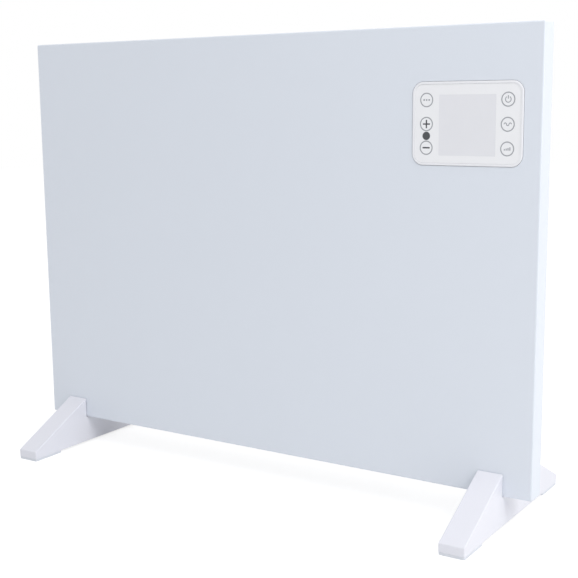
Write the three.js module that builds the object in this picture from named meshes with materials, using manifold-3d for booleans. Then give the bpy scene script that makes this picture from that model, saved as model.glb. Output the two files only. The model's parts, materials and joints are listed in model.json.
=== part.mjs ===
// Wall panel convector heater, standing on its two feet. Millimetres, +Z up.
// The origin lies on the floor below the middle of the body. The front faces -Y, and +X is on the
// right of someone who looks at the front.
import * as THREE from "three";
import { mergeVertices } from "three/addons/utils/BufferGeometryUtils.js";
import Module from "manifold-3d";

const wasm = await Module();
wasm.setup();

// ---------------------------------------------------------------- driving dimensions

const FIT = 0.3; // gap between a piece and its seat
const PAST = 3; // how far a cutter runs past the face that it cuts

// Body
const PANEL_WIDTH = 600;
const PANEL_HEIGHT = 428;
const BODY_DEPTH = 62;
const FLOOR_GAP = 32; // floor to the front panel's lower edge
const PANEL_SHEET = 1;
const RETURN_DEPTH = 22; // the front panel's edges, folded back
const LIP_WIDTH = 11; // the inward fold behind each edge
const PANEL_FOLD = 1.6; // outer radius of the folds
const PANEL_CORNER = 2.4; // the face's corners, seen from the front
const COVER_SHEET = 0.8;
const COVER_SIDE_INSET = 24; // rear cover's side walls, in from the panel's edges
const COVER_TOP_INSET = 24;
const COVER_BOTTOM_INSET = 14;
const COVER_CORNER = 12;
const COVER_EDGE = 6; // rounding round the rear cover's back
const RIM_INSET = 3; // rear cover's rim, in from the panel's edges
const BEAD_WIDTH = 8; // stiffening beads pressed into the back
const BEAD_DEPTH = 1.5;
const BEAD_END_INSET = 22;
const LOW_BEAD_RISE = 74; // above the rear cover's lower side
const HIGH_BEAD_DROP = 106; // below its top
const KEYHOLE_SPACING = 360;
const KEYHOLE_DROP = 52; // top of the rear cover to the keyhole's large hole
const KEYHOLE_HEAD = 11;
const KEYHOLE_SLOT = 5.5;
const KEYHOLE_RISE = 14;
const COVER_SCREW_HEAD = 7;
const COVER_SCREW_HEAD_HEIGHT = 2.4;
const COVER_SCREW_SHANK = 3.5;
const COVER_SCREW_LENGTH = 8;
const COVER_SCREW_EDGE = 60; // screws, in from the panel's corners

// Feet
const FOOT_LENGTH = 230;
const FOOT_WIDTH = 25.4;
const FOOT_SIDE_INSET = 28; // foot's outer side, in from the panel's edge
const FOOT_TOP = 54;
const FOOT_TIP = 11;
const FOOT_WALL = 2.4;
const FOOT_EDGE = 1.1; // rounding of the foot's side edges
const PAD_LENGTH = 40;
const PAD_THICKNESS = 2.5;
const PAD_PLUG = 3; // how far a pad's plug stands up inside the foot
const FOOT_RIB = 2;
const FOOT_BOSS = 10;
const FOOT_SCREW_HEAD = 8;
const FOOT_SCREW_HEAD_HEIGHT = 2.6;
const FOOT_SCREW_SHANK = 4;
const FOOT_SCREW_GRIP = 5; // how far a screw stands into the sheet metal
const FOOT_BOSS_DEPTH = 14;
const FRONT_SCREW_SETBACK = 2; // front foot screw, towards the front from the middle of its wall

// Control module
const MODULE_WIDTH = 107;
const MODULE_HEIGHT = 75;
const MODULE_CORNER = 10.5;
const MODULE_SIDE_INSET = 17.3; // from the panel's right edge
const MODULE_DROP = 49.5; // from the panel's top edge
const MODULE_GAP = 0.4; // open line between the module and the panel round it
const BEZEL_RING = 2.2; // width of the ring round the lens
const BEZEL_PROUD = 0.8; // how far the ring stands out of the panel
const BEZEL_EDGE = 0.6; // rounding of the ring's edges
const BEZEL_SHELF = 3; // width of the ledge behind the lens
const BEZEL_FLANGE = 3; // flange behind the panel
const BEZEL_FLANGE_THICKNESS = 1.5;
const BEZEL_DEPTH = 7; // panel's face to the bezel's back
const LENS_THICKNESS = 1.4;
const LENS_SUNK = 0.4; // lens face, behind the ring's face
const DISPLAY_WIDTH = 55;
const DISPLAY_HEIGHT = 54.5;
const DISPLAY_THICKNESS = 3;
const BOARD_THICKNESS = 1.6;
const BOARD_EDGE_GAP = 1; // circuit board to the walls round it
const MODULE_DEPTH = 19; // panel's face to the back of the module's housing
const MODULE_WALL = 1.6;
const STANDOFF = 6;
const HOUSING_POST_INSET = 10; // standoffs, in from the housing's inner walls
const CABLE_SLOT_RISE = 8; // flat cable's slot, above the housing's lower wall

// Air path
const COLD_END_WIDTH = 40; // rear cover's left wall to the duct
const BAY_WIDTH = 110; // duct to the rear cover's right wall
const SHIELD_SHEET = 0.6;
const SHIELD_STANDOFF = 17; // front panel's face to the heat shield
const SHIELD_RISE = 42; // above the rear cover's lower side
const SHIELD_DROP = 24; // below its top
const SHIELD_FOOT = 10;
const GRILLE_DEPTH = 24;
const GRILLE_FLANGE = 3;
const GRILLE_WALL = 1.5;
const GRILLE_HEIGHT = 9;
const GRILLE_RECESS = 0.5; // blades, in from the grille's two faces
const GRILLE_BLADE = 1.2;
const GRILLE_PITCH = 5.4;
const GRILLE_RIB_PITCH = 74;
const OUTLET_END_WALL = 36; // rear cover's side wall to the outlet
const OUTLET_LEAN = 35; // degrees, blades throw the warm air forwards
const INLET_END_WALL = 10; // duct's side wall to the inlet

// Heating element
const ELEMENT_RISE = 72; // element's axis, above the heat shield's lower edge
const HUB_RADIUS = 6.5;
const BORE_RADIUS = 4;
const ROD_RADIUS = 3.5;
const WING_SHEET = 1.8;
const WING_LENGTH = 28; // from the element's axis to a wing's tip
const WING_ANGLE = 26; // degrees off the vertical
const WING_LIP = 5;
const WINDOW_LENGTH = 20;
const WINDOW_HEIGHT = 8;
const WINDOW_PITCH = 29;
const BUSH_FLANGE_RADIUS = 9;
const BUSH_NECK_RADIUS = 6.8;
const BUSH_FLANGE = 4;
const BUSH_NECK = 4;
const STUD_RADIUS = 2;
const STUD_LENGTH = 12;
const CUTOUT_OFFSET = 95; // thermal cut-out, right of the duct's middle
const CUTOUT_RISE = 58; // thermal cut-out above the element's axis
const CUTOUT_RADIUS = 8;
const CUTOUT_HEIGHT = 9;

// Electrical bay, to the right of the duct
const TRAY_WIDTH = 62;
const TRAY_HEIGHT = 92;
const TRAY_SIDE_GAP = 16;
const TRAY_RISE = 112; // tray's lower edge, above the rear cover's lower side
const TRAY_BASE = 2;
const TRAY_STANDOFF_HEIGHT = 6;
const TRAY_POST_INSET = 6; // standoffs, in from the tray's edges
const RELAY_SIZE = [19, 15, 15.5];
const TERMINAL_SIZE = [44, 12, 13];
const TERMINAL_WAYS = 4;
const SWITCH_RISE = 60; // above the rear cover's lower side
const SWITCH_FACE_WIDTH = 16;
const SWITCH_FACE_HEIGHT = 25;
const SWITCH_FLANGE = 1.8;
const SWITCH_WALL = 1.4;
const SWITCH_DEPTH = 14;
const SWITCH_BLADE = 7; // length of a blade terminal behind the switch
const SWITCH_BLADE_OFFSET = 5; // blades, above and below the switch's middle
const ROCKER_WIDTH = 9.6;
const ROCKER_HALF_HEIGHT = 7.4;
const ROCKER_PIVOT_DEPTH = 6; // pivot, behind the switch's face
const ROCKER_TILT = 10; // degrees to each side of the middle
const ROCKER_BELLY = 6.5;
const TRUNNION_RADIUS = 1.2;
const TRUNNION_LENGTH = 1.1;
const TILT_WIDTH = 20;
const TILT_DEPTH = 30;
const TILT_HEIGHT = 42;
const TILT_FLOOR_GAP = 8; // above the rear cover's floor
const TILT_SIDE_GAP = 12; // to the gland's neck
const TILT_WALL = 1.8;
const TILT_ARM = 20;
const TILT_BOB_RADIUS = 5;
const TILT_BOB_LENGTH = 12;
const TILT_PIN_RADIUS = 1.5;
const TILT_PIN_SEAT = 1.2; // depth of the blind seats in the case's side walls
const TILT_RING_WALL = 1.4; // pendulum's ring round the pin
const GLAND_FOOT_GAP = 8;
const GLAND_BORE_RADIUS = 4;
const GLAND_NECK_RADIUS = 7.2;
const GLAND_FLANGE_RADIUS = 10;
const GLAND_FLANGE = 3.5;
const GLAND_NECK = 10;
const SENSOR_GAP = 4; // to the tip-over switch
const SENSOR_HEIGHT = 22;
const SENSOR_RADIUS = 3;
const LEAD_RADIUS = 1.5;
const RIBBON_WIDTH = 10;
const RIBBON_THICKNESS = 1.2;

// ---------------------------------------------------------------- places worked out from them

const FRONT = -BODY_DEPTH / 2;
const BACK = BODY_DEPTH / 2;
const PANEL_BOTTOM = FLOOR_GAP;
const PANEL_TOP = FLOOR_GAP + PANEL_HEIGHT;
const PANEL_SIDE = PANEL_WIDTH / 2;
const LIP_BACK = FRONT + RETURN_DEPTH;
const RIM_FRONT = LIP_BACK + FIT;
const RIM_BACK = RIM_FRONT + COVER_SHEET;
const COVER_SIDE = PANEL_SIDE - COVER_SIDE_INSET;
const COVER_BOTTOM = PANEL_BOTTOM + COVER_BOTTOM_INSET;
const COVER_TOP = PANEL_TOP - COVER_TOP_INSET;
const COVER_MIDDLE_Z = (COVER_BOTTOM + COVER_TOP) / 2;
const COVER_INNER_BACK = BACK - COVER_SHEET;
const COVER_INNER_SIDE = COVER_SIDE - COVER_SHEET;
const BEAD_HEIGHTS = [COVER_BOTTOM + LOW_BEAD_RISE, COVER_TOP - HIGH_BEAD_DROP];
const SCREW_LINE = (RIM_INSET + PANEL_SHEET + LIP_WIDTH) / 2; // in from the panel's edges

const FOOT_BOTTOM = PAD_THICKNESS + FIT;
const FOOT_X = PANEL_SIDE - FOOT_SIDE_INSET - FOOT_WIDTH / 2;
const FOOT_NOTCH = BODY_DEPTH / 2 + FIT;
const FOOT_STEP_Y = RIM_BACK + 2 * FIT;
const FOOT_LOW_SEAT = PANEL_BOTTOM - FIT;
const FOOT_HIGH_SEAT = COVER_BOTTOM - FIT;
const FOOT_SCREWS = [
  { y: (FRONT + RIM_FRONT) / 2 - FRONT_SCREW_SETBACK, seat: FOOT_LOW_SEAT, sheet: PANEL_BOTTOM },
  { y: (FOOT_STEP_Y + BACK) / 2, seat: FOOT_HIGH_SEAT, sheet: COVER_BOTTOM },
];

const MODULE_X = PANEL_SIDE - MODULE_SIDE_INSET - MODULE_WIDTH / 2;
const MODULE_Z = PANEL_TOP - MODULE_DROP - MODULE_HEIGHT / 2;
const RING_FACE = FRONT - BEZEL_PROUD;
const LENS_FACE = RING_FACE + LENS_SUNK;
const LENS_BACK = LENS_FACE + LENS_THICKNESS;
const LENS_WIDTH = MODULE_WIDTH - 2 * BEZEL_RING - 2 * FIT;
const LENS_HEIGHT = MODULE_HEIGHT - 2 * BEZEL_RING - 2 * FIT;
const LENS_CORNER = MODULE_CORNER - BEZEL_RING - FIT;
const SHELF_FACE = LENS_BACK + FIT;
const FLANGE_FACE = FRONT + PANEL_SHEET + FIT;
const FLANGE_BACK = FLANGE_FACE + BEZEL_FLANGE_THICKNESS;
const BEZEL_BACK = FRONT + BEZEL_DEPTH;
const DISPLAY_FACE = LENS_BACK + FIT;
const DISPLAY_BACK = DISPLAY_FACE + DISPLAY_THICKNESS;
const DISPLAY_BOARD_FACE = Math.max(DISPLAY_BACK, BEZEL_BACK) + FIT;
const DISPLAY_BOARD_BACK = DISPLAY_BOARD_FACE + BOARD_THICKNESS;
const HOUSING_FRONT = FLANGE_BACK + FIT;
const HOUSING_BACK = FRONT + MODULE_DEPTH;

const DUCT_LEFT = -COVER_INNER_SIDE + COLD_END_WIDTH;
const DUCT_RIGHT = COVER_INNER_SIDE - BAY_WIDTH;
const SHIELD_BOTTOM = COVER_BOTTOM + SHIELD_RISE;
const SHIELD_TOP = COVER_TOP - SHIELD_DROP;
const OUTLET_LENGTH = 2 * (COVER_SIDE - OUTLET_END_WALL);
const INLET_LENGTH = DUCT_RIGHT - DUCT_LEFT - 2 * INLET_END_WALL;
const SHIELD_FACE = FRONT + SHIELD_STANDOFF;
const SHIELD_BACK = COVER_INNER_BACK - BEAD_DEPTH - FIT;
const DUCT_MIDDLE_X = (DUCT_LEFT + DUCT_RIGHT) / 2;
const ELEMENT_Y = (SHIELD_FACE + SHIELD_SHEET + SHIELD_BACK) / 2;
const ELEMENT_Z = SHIELD_BOTTOM + ELEMENT_RISE;
const CUTOUT_X = DUCT_MIDDLE_X + CUTOUT_OFFSET;
const GRILLE_Y = (RIM_BACK + BACK - COVER_EDGE) / 2;
const BAY_MIDDLE_Y = GRILLE_Y;
const TRAY_X = COVER_INNER_SIDE - TRAY_SIDE_GAP - TRAY_WIDTH / 2;
const TRAY_Z = COVER_BOTTOM + TRAY_RISE + TRAY_HEIGHT / 2;
const TRAY_BACK = COVER_INNER_BACK - FIT;
const TRAY_FRONT = TRAY_BACK - TRAY_BASE;
const POWER_BOARD_BACK = TRAY_FRONT - TRAY_STANDOFF_HEIGHT - FIT;
const POWER_BOARD_FACE = POWER_BOARD_BACK - BOARD_THICKNESS;
const SWITCH_Z = COVER_BOTTOM + SWITCH_RISE;
const SWITCH_FACE = COVER_SIDE + FIT + SWITCH_FLANGE;
const SWITCH_PIVOT_X = SWITCH_FACE - ROCKER_PIVOT_DEPTH;
const GLAND_X = FOOT_X - FOOT_WIDTH / 2 - GLAND_FOOT_GAP - GLAND_FLANGE_RADIUS;
const TILT_X = GLAND_X - GLAND_NECK_RADIUS - TILT_SIDE_GAP - TILT_WIDTH / 2;
const SENSOR_X = TILT_X - TILT_WIDTH / 2 - SENSOR_GAP - 2 * SENSOR_RADIUS;
const TILT_BACK = COVER_INNER_BACK - FIT;
const TILT_Y = TILT_BACK - TILT_DEPTH / 2;
const TILT_BOTTOM = COVER_BOTTOM + COVER_SHEET + TILT_FLOOR_GAP;
const TILT_PIVOT_Z = TILT_BOTTOM + TILT_HEIGHT - TILT_WALL - 2 * TILT_PIN_RADIUS - 2;

// ---------------------------------------------------------------- solids

// A closed three.js geometry as a solid that can be joined and cut.
function solidOf(geometry) {
  const bare = geometry.index ? geometry.toNonIndexed() : geometry.clone();
  bare.deleteAttribute("normal");
  bare.deleteAttribute("uv");
  const merged = mergeVertices(bare, 1e-4);
  return new wasm.Manifold(
    new wasm.Mesh({
      numProp: 3,
      vertProperties: merged.getAttribute("position").array,
      triVerts: new Uint32Array(merged.index.array),
    }),
  );
}

function geometryOf(solid) {
  const made = solid.getMesh();
  const geometry = new THREE.BufferGeometry();
  geometry.setAttribute("position", new THREE.BufferAttribute(made.vertProperties, 3));
  geometry.setIndex(new THREE.BufferAttribute(made.triVerts, 1));
  const flat = geometry.toNonIndexed();
  flat.computeVertexNormals();
  return flat;
}

function joined(...solids) {
  return solids.flat().reduce((sum, next) => sum.add(next));
}

function cut(solid, ...cutters) {
  return cutters.flat().reduce((rest, cutter) => rest.subtract(cutter), solid);
}

function block([x0, x1], [y0, y1], [z0, z1]) {
  const box = new THREE.BoxGeometry(x1 - x0, y1 - y0, z1 - z0);
  return solidOf(box.translate((x0 + x1) / 2, (y0 + y1) / 2, (z0 + z1) / 2));
}

// A span of the given size round a middle.
function about(middle, size) {
  return [middle - size / 2, middle + size / 2];
}

// Where an outline drawn in two axes is pushed along the third.
const ALONG_X = new THREE.Matrix4().makeBasis(
  new THREE.Vector3(0, 1, 0),
  new THREE.Vector3(0, 0, 1),
  new THREE.Vector3(1, 0, 0),
);
const ALONG_Y = new THREE.Matrix4().makeBasis(
  new THREE.Vector3(1, 0, 0),
  new THREE.Vector3(0, 0, 1),
  new THREE.Vector3(0, -1, 0),
);

// An outline in (y, z), from x0 to x1.
function pushedX(outline, [x0, x1]) {
  const bar = new THREE.ExtrudeGeometry(outline, { depth: x1 - x0, bevelEnabled: false, curveSegments: 6 });
  return solidOf(bar.applyMatrix4(ALONG_X).translate(x0, 0, 0));
}

// An outline in (x, z), from y0 to y1.
function pushedY(outline, [y0, y1], curveSegments = 4) {
  const bar = new THREE.ExtrudeGeometry(outline, { depth: y1 - y0, bevelEnabled: false, curveSegments });
  return solidOf(bar.applyMatrix4(ALONG_Y).translate(0, y1, 0));
}

// A bar of an outline whose both ends are rounded by a radius, before it is turned.
function softBar(outline, length, radius, curveSegments) {
  return new THREE.ExtrudeGeometry(outline, {
    depth: length - 2 * radius,
    bevelThickness: radius,
    bevelSize: radius,
    bevelOffset: -radius,
    bevelSegments: 3,
    curveSegments,
  });
}

function softPushedX(outline, [x0, x1], radius) {
  const bar = softBar(outline, x1 - x0, radius, 4);
  return solidOf(bar.applyMatrix4(ALONG_X).translate(x0 + radius, 0, 0));
}

function softPushedY(outline, [y0, y1], radius, curveSegments = 4) {
  const bar = softBar(outline, y1 - y0, radius, curveSegments);
  return solidOf(bar.applyMatrix4(ALONG_Y).translate(0, y1 - radius, 0));
}

function outlineOf(points) {
  return new THREE.Shape(points.map(([u, v]) => new THREE.Vector2(u, v)));
}

function roundedRectangle([u, v], width, height, radius) {
  const shape = new THREE.Shape();
  const [left, right] = about(u, width);
  const [low, high] = about(v, height);
  shape.moveTo(left + radius, low);
  shape.absarc(right - radius, low + radius, radius, -Math.PI / 2, 0);
  shape.absarc(right - radius, high - radius, radius, 0, Math.PI / 2);
  shape.absarc(left + radius, high - radius, radius, Math.PI / 2, Math.PI);
  shape.absarc(left + radius, low + radius, radius, Math.PI, 1.5 * Math.PI);
  return shape;
}

// A profile of [radius, height] pairs turned round an axis that starts at a point.
function turned(profile, start, direction, segments = 12) {
  const points = profile.map(([radius, height]) => new THREE.Vector2(radius, height));
  const lathe = new THREE.LatheGeometry(points, segments);
  const towards = new THREE.Vector3(...direction).normalize();
  lathe.applyQuaternion(new THREE.Quaternion().setFromUnitVectors(new THREE.Vector3(0, 1, 0), towards));
  return solidOf(lathe.translate(...start));
}

function pin(radius, start, direction, length, segments = 12) {
  return turned([[0, 0], [radius, 0], [radius, length], [0, length]], start, direction, segments);
}

function tube(outer, inner, start, direction, length, segments = 16) {
  const profile = [[inner, 0], [outer, 0], [outer, length], [inner, length], [inner, 0]];
  return turned(profile, start, direction, segments);
}

// A section swept along a smooth curve through points, with straight ends.
function swept(section, points, steps) {
  const path = new THREE.CurvePath();
  const places = points.map((point) => new THREE.Vector3(...point));
  const last = places.length - 1;
  path.add(new THREE.LineCurve3(places[0], places[1]));
  path.add(new THREE.CatmullRomCurve3(places.slice(1, last), false, "centripetal"));
  path.add(new THREE.LineCurve3(places[last - 1], places[last]));
  return new THREE.ExtrudeGeometry(section, { steps, extrudePath: path, bevelEnabled: false });
}

// ---------------------------------------------------------------- finishes

function finish(color, roughness, metalness = 0) {
  return new THREE.MeshStandardMaterial({ color, roughness, metalness });
}

const ENAMEL = () => finish(0xe6e9f0, 0.42, 0.1);
const COVER_ENAMEL = () => finish(0xdfe2e8, 0.5, 0.1);
const WHITE_ABS = () => finish(0xe8eaf0, 0.4);
const GREY_ABS = () => finish(0xd9dbde, 0.5);
const BLACK_NYLON = () => finish(0x202225, 0.55);
const RUBBER = () => finish(0xc9ccd4, 0.85);
const ZINC = () => finish(0xb9bdc2, 0.35, 0.9);
const ALUMINIUM = () => finish(0xc9ccd0, 0.4, 0.9);
const STEEL_TUBE = () => finish(0x8f9296, 0.35, 0.9);
const CERAMIC = () => finish(0xe9e4d8, 0.6);
const BOARD_GREEN = () => finish(0x1f5a3c, 0.6);
const LENS_WHITE = () => finish(0xe7e9ee, 0.15);
const DISPLAY_GREY = () => finish(0xc9ccd4, 0.2);
const SILICONE_WHITE = () => finish(0xd8d8d4, 0.6);
const SILICONE_BROWN = () => finish(0x6b3f2a, 0.6);

const heater = new THREE.Group();

function add(name, geometry, material) {
  const mesh = new THREE.Mesh(geometry, material);
  mesh.name = name;
  heater.add(mesh);
  return mesh;
}

function addSolid(name, solid, material) {
  return add(name, geometryOf(solid), material);
}

// ---------------------------------------------------------------- front panel and rear cover

// The places of the cover screws, as [x, z], two on each edge.
function coverScrewPlaces() {
  const sideX = PANEL_SIDE - SCREW_LINE;
  const endX = PANEL_SIDE - COVER_SCREW_EDGE;
  const lowZ = PANEL_BOTTOM + SCREW_LINE;
  const highZ = PANEL_TOP - SCREW_LINE;
  const sideHeights = [PANEL_BOTTOM + COVER_SCREW_EDGE, PANEL_TOP - COVER_SCREW_EDGE];
  return [
    ...sideHeights.flatMap((z) => [[-sideX, z], [sideX, z]]),
    ...[lowZ, highZ].flatMap((z) => [[-endX, z], [endX, z]]),
  ];
}

function coverScrewHoles() {
  const radius = COVER_SCREW_SHANK / 2 + FIT;
  const length = PANEL_SHEET + FIT + COVER_SHEET + 2 * PAST;
  const start = LIP_BACK - PANEL_SHEET - PAST;
  return coverScrewPlaces().map(([x, z]) => pin(radius, [x, start, z], [0, 1, 0], length, 8));
}

function footScrewHoles(screw) {
  const radius = FOOT_SCREW_SHANK / 2 + FIT;
  return [-FOOT_X, FOOT_X].map((x) => pin(radius, [x, screw.y, screw.sheet - PAST], [0, 0, 1], 2 * PAST, 8));
}

function panelOutline(inset) {
  const middle = [0, (PANEL_BOTTOM + PANEL_TOP) / 2];
  return roundedRectangle(middle, PANEL_WIDTH - 2 * inset, PANEL_HEIGHT - 2 * inset, PANEL_CORNER - inset);
}

// A folded steel tray: the face, four returns and a lip behind each return.
function frontPanel() {
  const outside = softPushedY(panelOutline(0), [FRONT, LIP_BACK], PANEL_FOLD, 2);
  const hollow = softPushedY(
    panelOutline(PANEL_SHEET),
    [FRONT + PANEL_SHEET, LIP_BACK - PANEL_SHEET],
    PANEL_FOLD - PANEL_SHEET,
    2,
  );
  const fold = PANEL_SHEET + LIP_WIDTH;
  const opening = block(
    about(0, PANEL_WIDTH - 2 * fold),
    [FRONT + PANEL_SHEET, LIP_BACK + PAST],
    [PANEL_BOTTOM + fold, PANEL_TOP - fold],
  );
  const window = pushedY(
    moduleOutline(MODULE_WIDTH + 2 * MODULE_GAP, MODULE_HEIGHT + 2 * MODULE_GAP, MODULE_CORNER + MODULE_GAP),
    [FRONT - PAST, FRONT + PANEL_SHEET + PAST],
    6,
  );
  return cut(outside, hollow, opening, window, coverScrewHoles(), footScrewHoles(FOOT_SCREWS[0]));
}

function coverOutline(inset) {
  const width = 2 * (COVER_SIDE - inset);
  const height = COVER_TOP - COVER_BOTTOM - 2 * inset;
  return roundedRectangle([0, COVER_MIDDLE_Z], width, height, COVER_CORNER - inset);
}

// The beads' grooves, as deep as the sheet is pushed in, wider by a margin.
function beads(from, margin) {
  const length = 2 * (COVER_SIDE - BEAD_END_INSET) + 2 * margin;
  const width = BEAD_WIDTH + 2 * margin;
  return BEAD_HEIGHTS.map((z) =>
    pushedY(roundedRectangle([0, z], length, width, width / 2 - 0.01), [from - BEAD_DEPTH, from + PAST]),
  );
}

function keyholes() {
  const headZ = COVER_TOP - KEYHOLE_DROP;
  const wall = [COVER_INNER_BACK - PAST, BACK + PAST];
  return [-KEYHOLE_SPACING / 2, KEYHOLE_SPACING / 2].flatMap((x) => [
    pin(KEYHOLE_HEAD / 2, [x, wall[0], headZ], [0, 1, 0], wall[1] - wall[0], 16),
    block(about(x, KEYHOLE_SLOT), wall, [headZ, headZ + KEYHOLE_RISE]),
  ]);
}

function coverOpenings() {
  const grilleDepth = GRILLE_DEPTH + 2 * FIT;
  const ceiling = [COVER_TOP - COVER_SHEET - PAST, COVER_TOP + PAST];
  const floor = [COVER_BOTTOM - PAST, COVER_BOTTOM + COVER_SHEET + PAST];
  return [
    block(about(0, OUTLET_LENGTH + 2 * FIT), about(GRILLE_Y, grilleDepth), ceiling),
    block(about(DUCT_MIDDLE_X, INLET_LENGTH + 2 * FIT), about(GRILLE_Y, grilleDepth), floor),
    block(
      [COVER_INNER_SIDE - PAST, COVER_SIDE + PAST],
      about(BAY_MIDDLE_Y, ROCKER_WIDTH + 4 * FIT + 2 * SWITCH_WALL),
      about(SWITCH_Z, switchBodyHeight() + 2 * FIT),
    ),
    pin(GLAND_NECK_RADIUS + FIT, [GLAND_X, BAY_MIDDLE_Y, floor[0]], [0, 0, 1], floor[1] - floor[0], 16),
  ];
}

// A drawn steel tray with a flat rim, rounded round the back, with pressed beads and keyholes.
function rearCover() {
  const outer = softPushedY(coverOutline(0), [RIM_FRONT - 3 * COVER_EDGE, BACK], COVER_EDGE);
  const inner = softPushedY(
    coverOutline(COVER_SHEET),
    [RIM_FRONT - 3 * COVER_EDGE, COVER_INNER_BACK],
    COVER_EDGE - COVER_SHEET,
  );
  const rim = pushedY(
    roundedRectangle(
      [0, (PANEL_BOTTOM + PANEL_TOP) / 2],
      PANEL_WIDTH - 2 * RIM_INSET,
      PANEL_HEIGHT - 2 * RIM_INSET,
      RIM_INSET,
    ),
    [RIM_FRONT, RIM_BACK],
    2,
  );
  const infront = block(
    [-PANEL_WIDTH, PANEL_WIDTH],
    [RIM_FRONT - 4 * COVER_EDGE, RIM_FRONT],
    [-PANEL_TOP, 2 * PANEL_TOP],
  );
  const tray = joined(cut(outer, infront), rim);
  const hollow = cut(inner, beads(COVER_INNER_BACK, COVER_SHEET));
  return cut(
    tray,
    hollow,
    beads(BACK, 0),
    keyholes(),
    coverOpenings(),
    coverScrewHoles(),
    footScrewHoles(FOOT_SCREWS[1]),
  );
}

function screw(headRadius, headHeight, shankRadius, length, start, direction) {
  const crown = headHeight * 0.55;
  const profile = [
    [0, -headHeight],
    [headRadius * 0.62, -headHeight],
    [headRadius, -crown],
    [headRadius, 0],
    [shankRadius, 0],
    [shankRadius, length],
    [0, length],
  ];
  return turned(profile, start, direction, 12);
}

function addCoverScrews() {
  coverScrewPlaces().forEach(([x, z], index) => {
    const made = screw(
      COVER_SCREW_HEAD / 2,
      COVER_SCREW_HEAD_HEIGHT,
      COVER_SCREW_SHANK / 2,
      COVER_SCREW_LENGTH,
      [x, RIM_BACK + FIT, z],
      [0, -1, 0],
    );
    addSolid(`cover_screw_${index + 1}`, made, ZINC());
  });
}

// ---------------------------------------------------------------- grilles

// A rectangular frame with a flange outside the cover's wall and blades between its long sides.
// face is the wall's outer face and out is +1 where the flange looks up or -1 where it looks down.
function grille({ middleX, length, face, out, leanDegrees }) {
  const seat = face + out * FIT;
  const flangeTop = seat + out * GRILLE_FLANGE * 0.5;
  const neckEnd = flangeTop - out * GRILLE_HEIGHT;
  const zSpan = (a, b) => [Math.min(a, b), Math.max(a, b)];
  const flange = block(
    about(middleX, length + 2 * GRILLE_FLANGE),
    about(GRILLE_Y, GRILLE_DEPTH + 2 * GRILLE_FLANGE),
    zSpan(seat, flangeTop),
  );
  const neck = block(about(middleX, length), about(GRILLE_Y, GRILLE_DEPTH), zSpan(neckEnd, flangeTop));
  const open = block(
    about(middleX, length - 2 * GRILLE_WALL),
    about(GRILLE_Y, GRILLE_DEPTH - 2 * GRILLE_WALL),
    zSpan(neckEnd - out * PAST, flangeTop + out * PAST),
  );
  const [low, high] = zSpan(neckEnd, flangeTop);
  const bladeLow = low + GRILLE_RECESS;
  const bladeHigh = high - GRILLE_RECESS;
  const shift = (bladeHigh - bladeLow) * Math.tan(THREE.MathUtils.degToRad(leanDegrees));
  const bladeCount = Math.round((GRILLE_DEPTH - 2 * GRILLE_WALL + shift) / GRILLE_PITCH) - 1;
  const blades = [];
  for (let i = 0; i < bladeCount; i += 1) {
    const middleY = GRILLE_Y + (i - (bladeCount - 1) / 2) * GRILLE_PITCH;
    const outline = outlineOf([
      [middleY + shift / 2 - GRILLE_BLADE / 2, bladeLow],
      [middleY + shift / 2 + GRILLE_BLADE / 2, bladeLow],
      [middleY - shift / 2 + GRILLE_BLADE / 2, bladeHigh],
      [middleY - shift / 2 - GRILLE_BLADE / 2, bladeHigh],
    ]);
    blades.push(pushedX(outline, about(middleX, length - GRILLE_WALL)).intersect(neck));
  }
  const ribCount = Math.floor((length - GRILLE_WALL) / GRILLE_RIB_PITCH);
  const ribs = [];
  for (let i = 0; i < ribCount; i += 1) {
    const x = middleX + (i - (ribCount - 1) / 2) * GRILLE_RIB_PITCH;
    const tall = [low + 2 * GRILLE_RECESS, high - 2 * GRILLE_RECESS];
    ribs.push(block(about(x, GRILLE_WALL), about(GRILLE_Y, GRILLE_DEPTH - GRILLE_WALL), tall));
  }
  return joined(cut(joined(flange, neck), open), blades, ribs);
}

// ---------------------------------------------------------------- heat shield and element

// The duct's wall in front of the element, with side walls back to the rear cover's beads.
function heatShield() {
  const wide = [DUCT_LEFT, DUCT_RIGHT];
  const tall = [SHIELD_BOTTOM, SHIELD_TOP];
  const channel = cut(
    block(wide, [SHIELD_FACE, SHIELD_BACK], tall),
    block(
      [DUCT_LEFT + SHIELD_SHEET, DUCT_RIGHT - SHIELD_SHEET],
      [SHIELD_FACE + SHIELD_SHEET, SHIELD_BACK + PAST],
      [SHIELD_BOTTOM - PAST, SHIELD_TOP + PAST],
    ),
  );
  const footSheet = [SHIELD_BACK - SHIELD_SHEET, SHIELD_BACK];
  const feet = [
    block([DUCT_LEFT - SHIELD_FOOT, DUCT_LEFT + SHIELD_SHEET], footSheet, tall),
    block([DUCT_RIGHT - SHIELD_SHEET, DUCT_RIGHT + SHIELD_FOOT], footSheet, tall),
  ];
  const bushHoles = pin(
    BUSH_NECK_RADIUS + FIT,
    [DUCT_LEFT - PAST, ELEMENT_Y, ELEMENT_Z],
    [1, 0, 0],
    DUCT_RIGHT - DUCT_LEFT + 2 * PAST,
    16,
  );
  return cut(joined(channel, feet), bushHoles);
}

function elementEnds() {
  const inset = SHIELD_SHEET + BUSH_NECK + FIT;
  return [DUCT_LEFT + inset, DUCT_RIGHT - inset];
}

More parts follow.
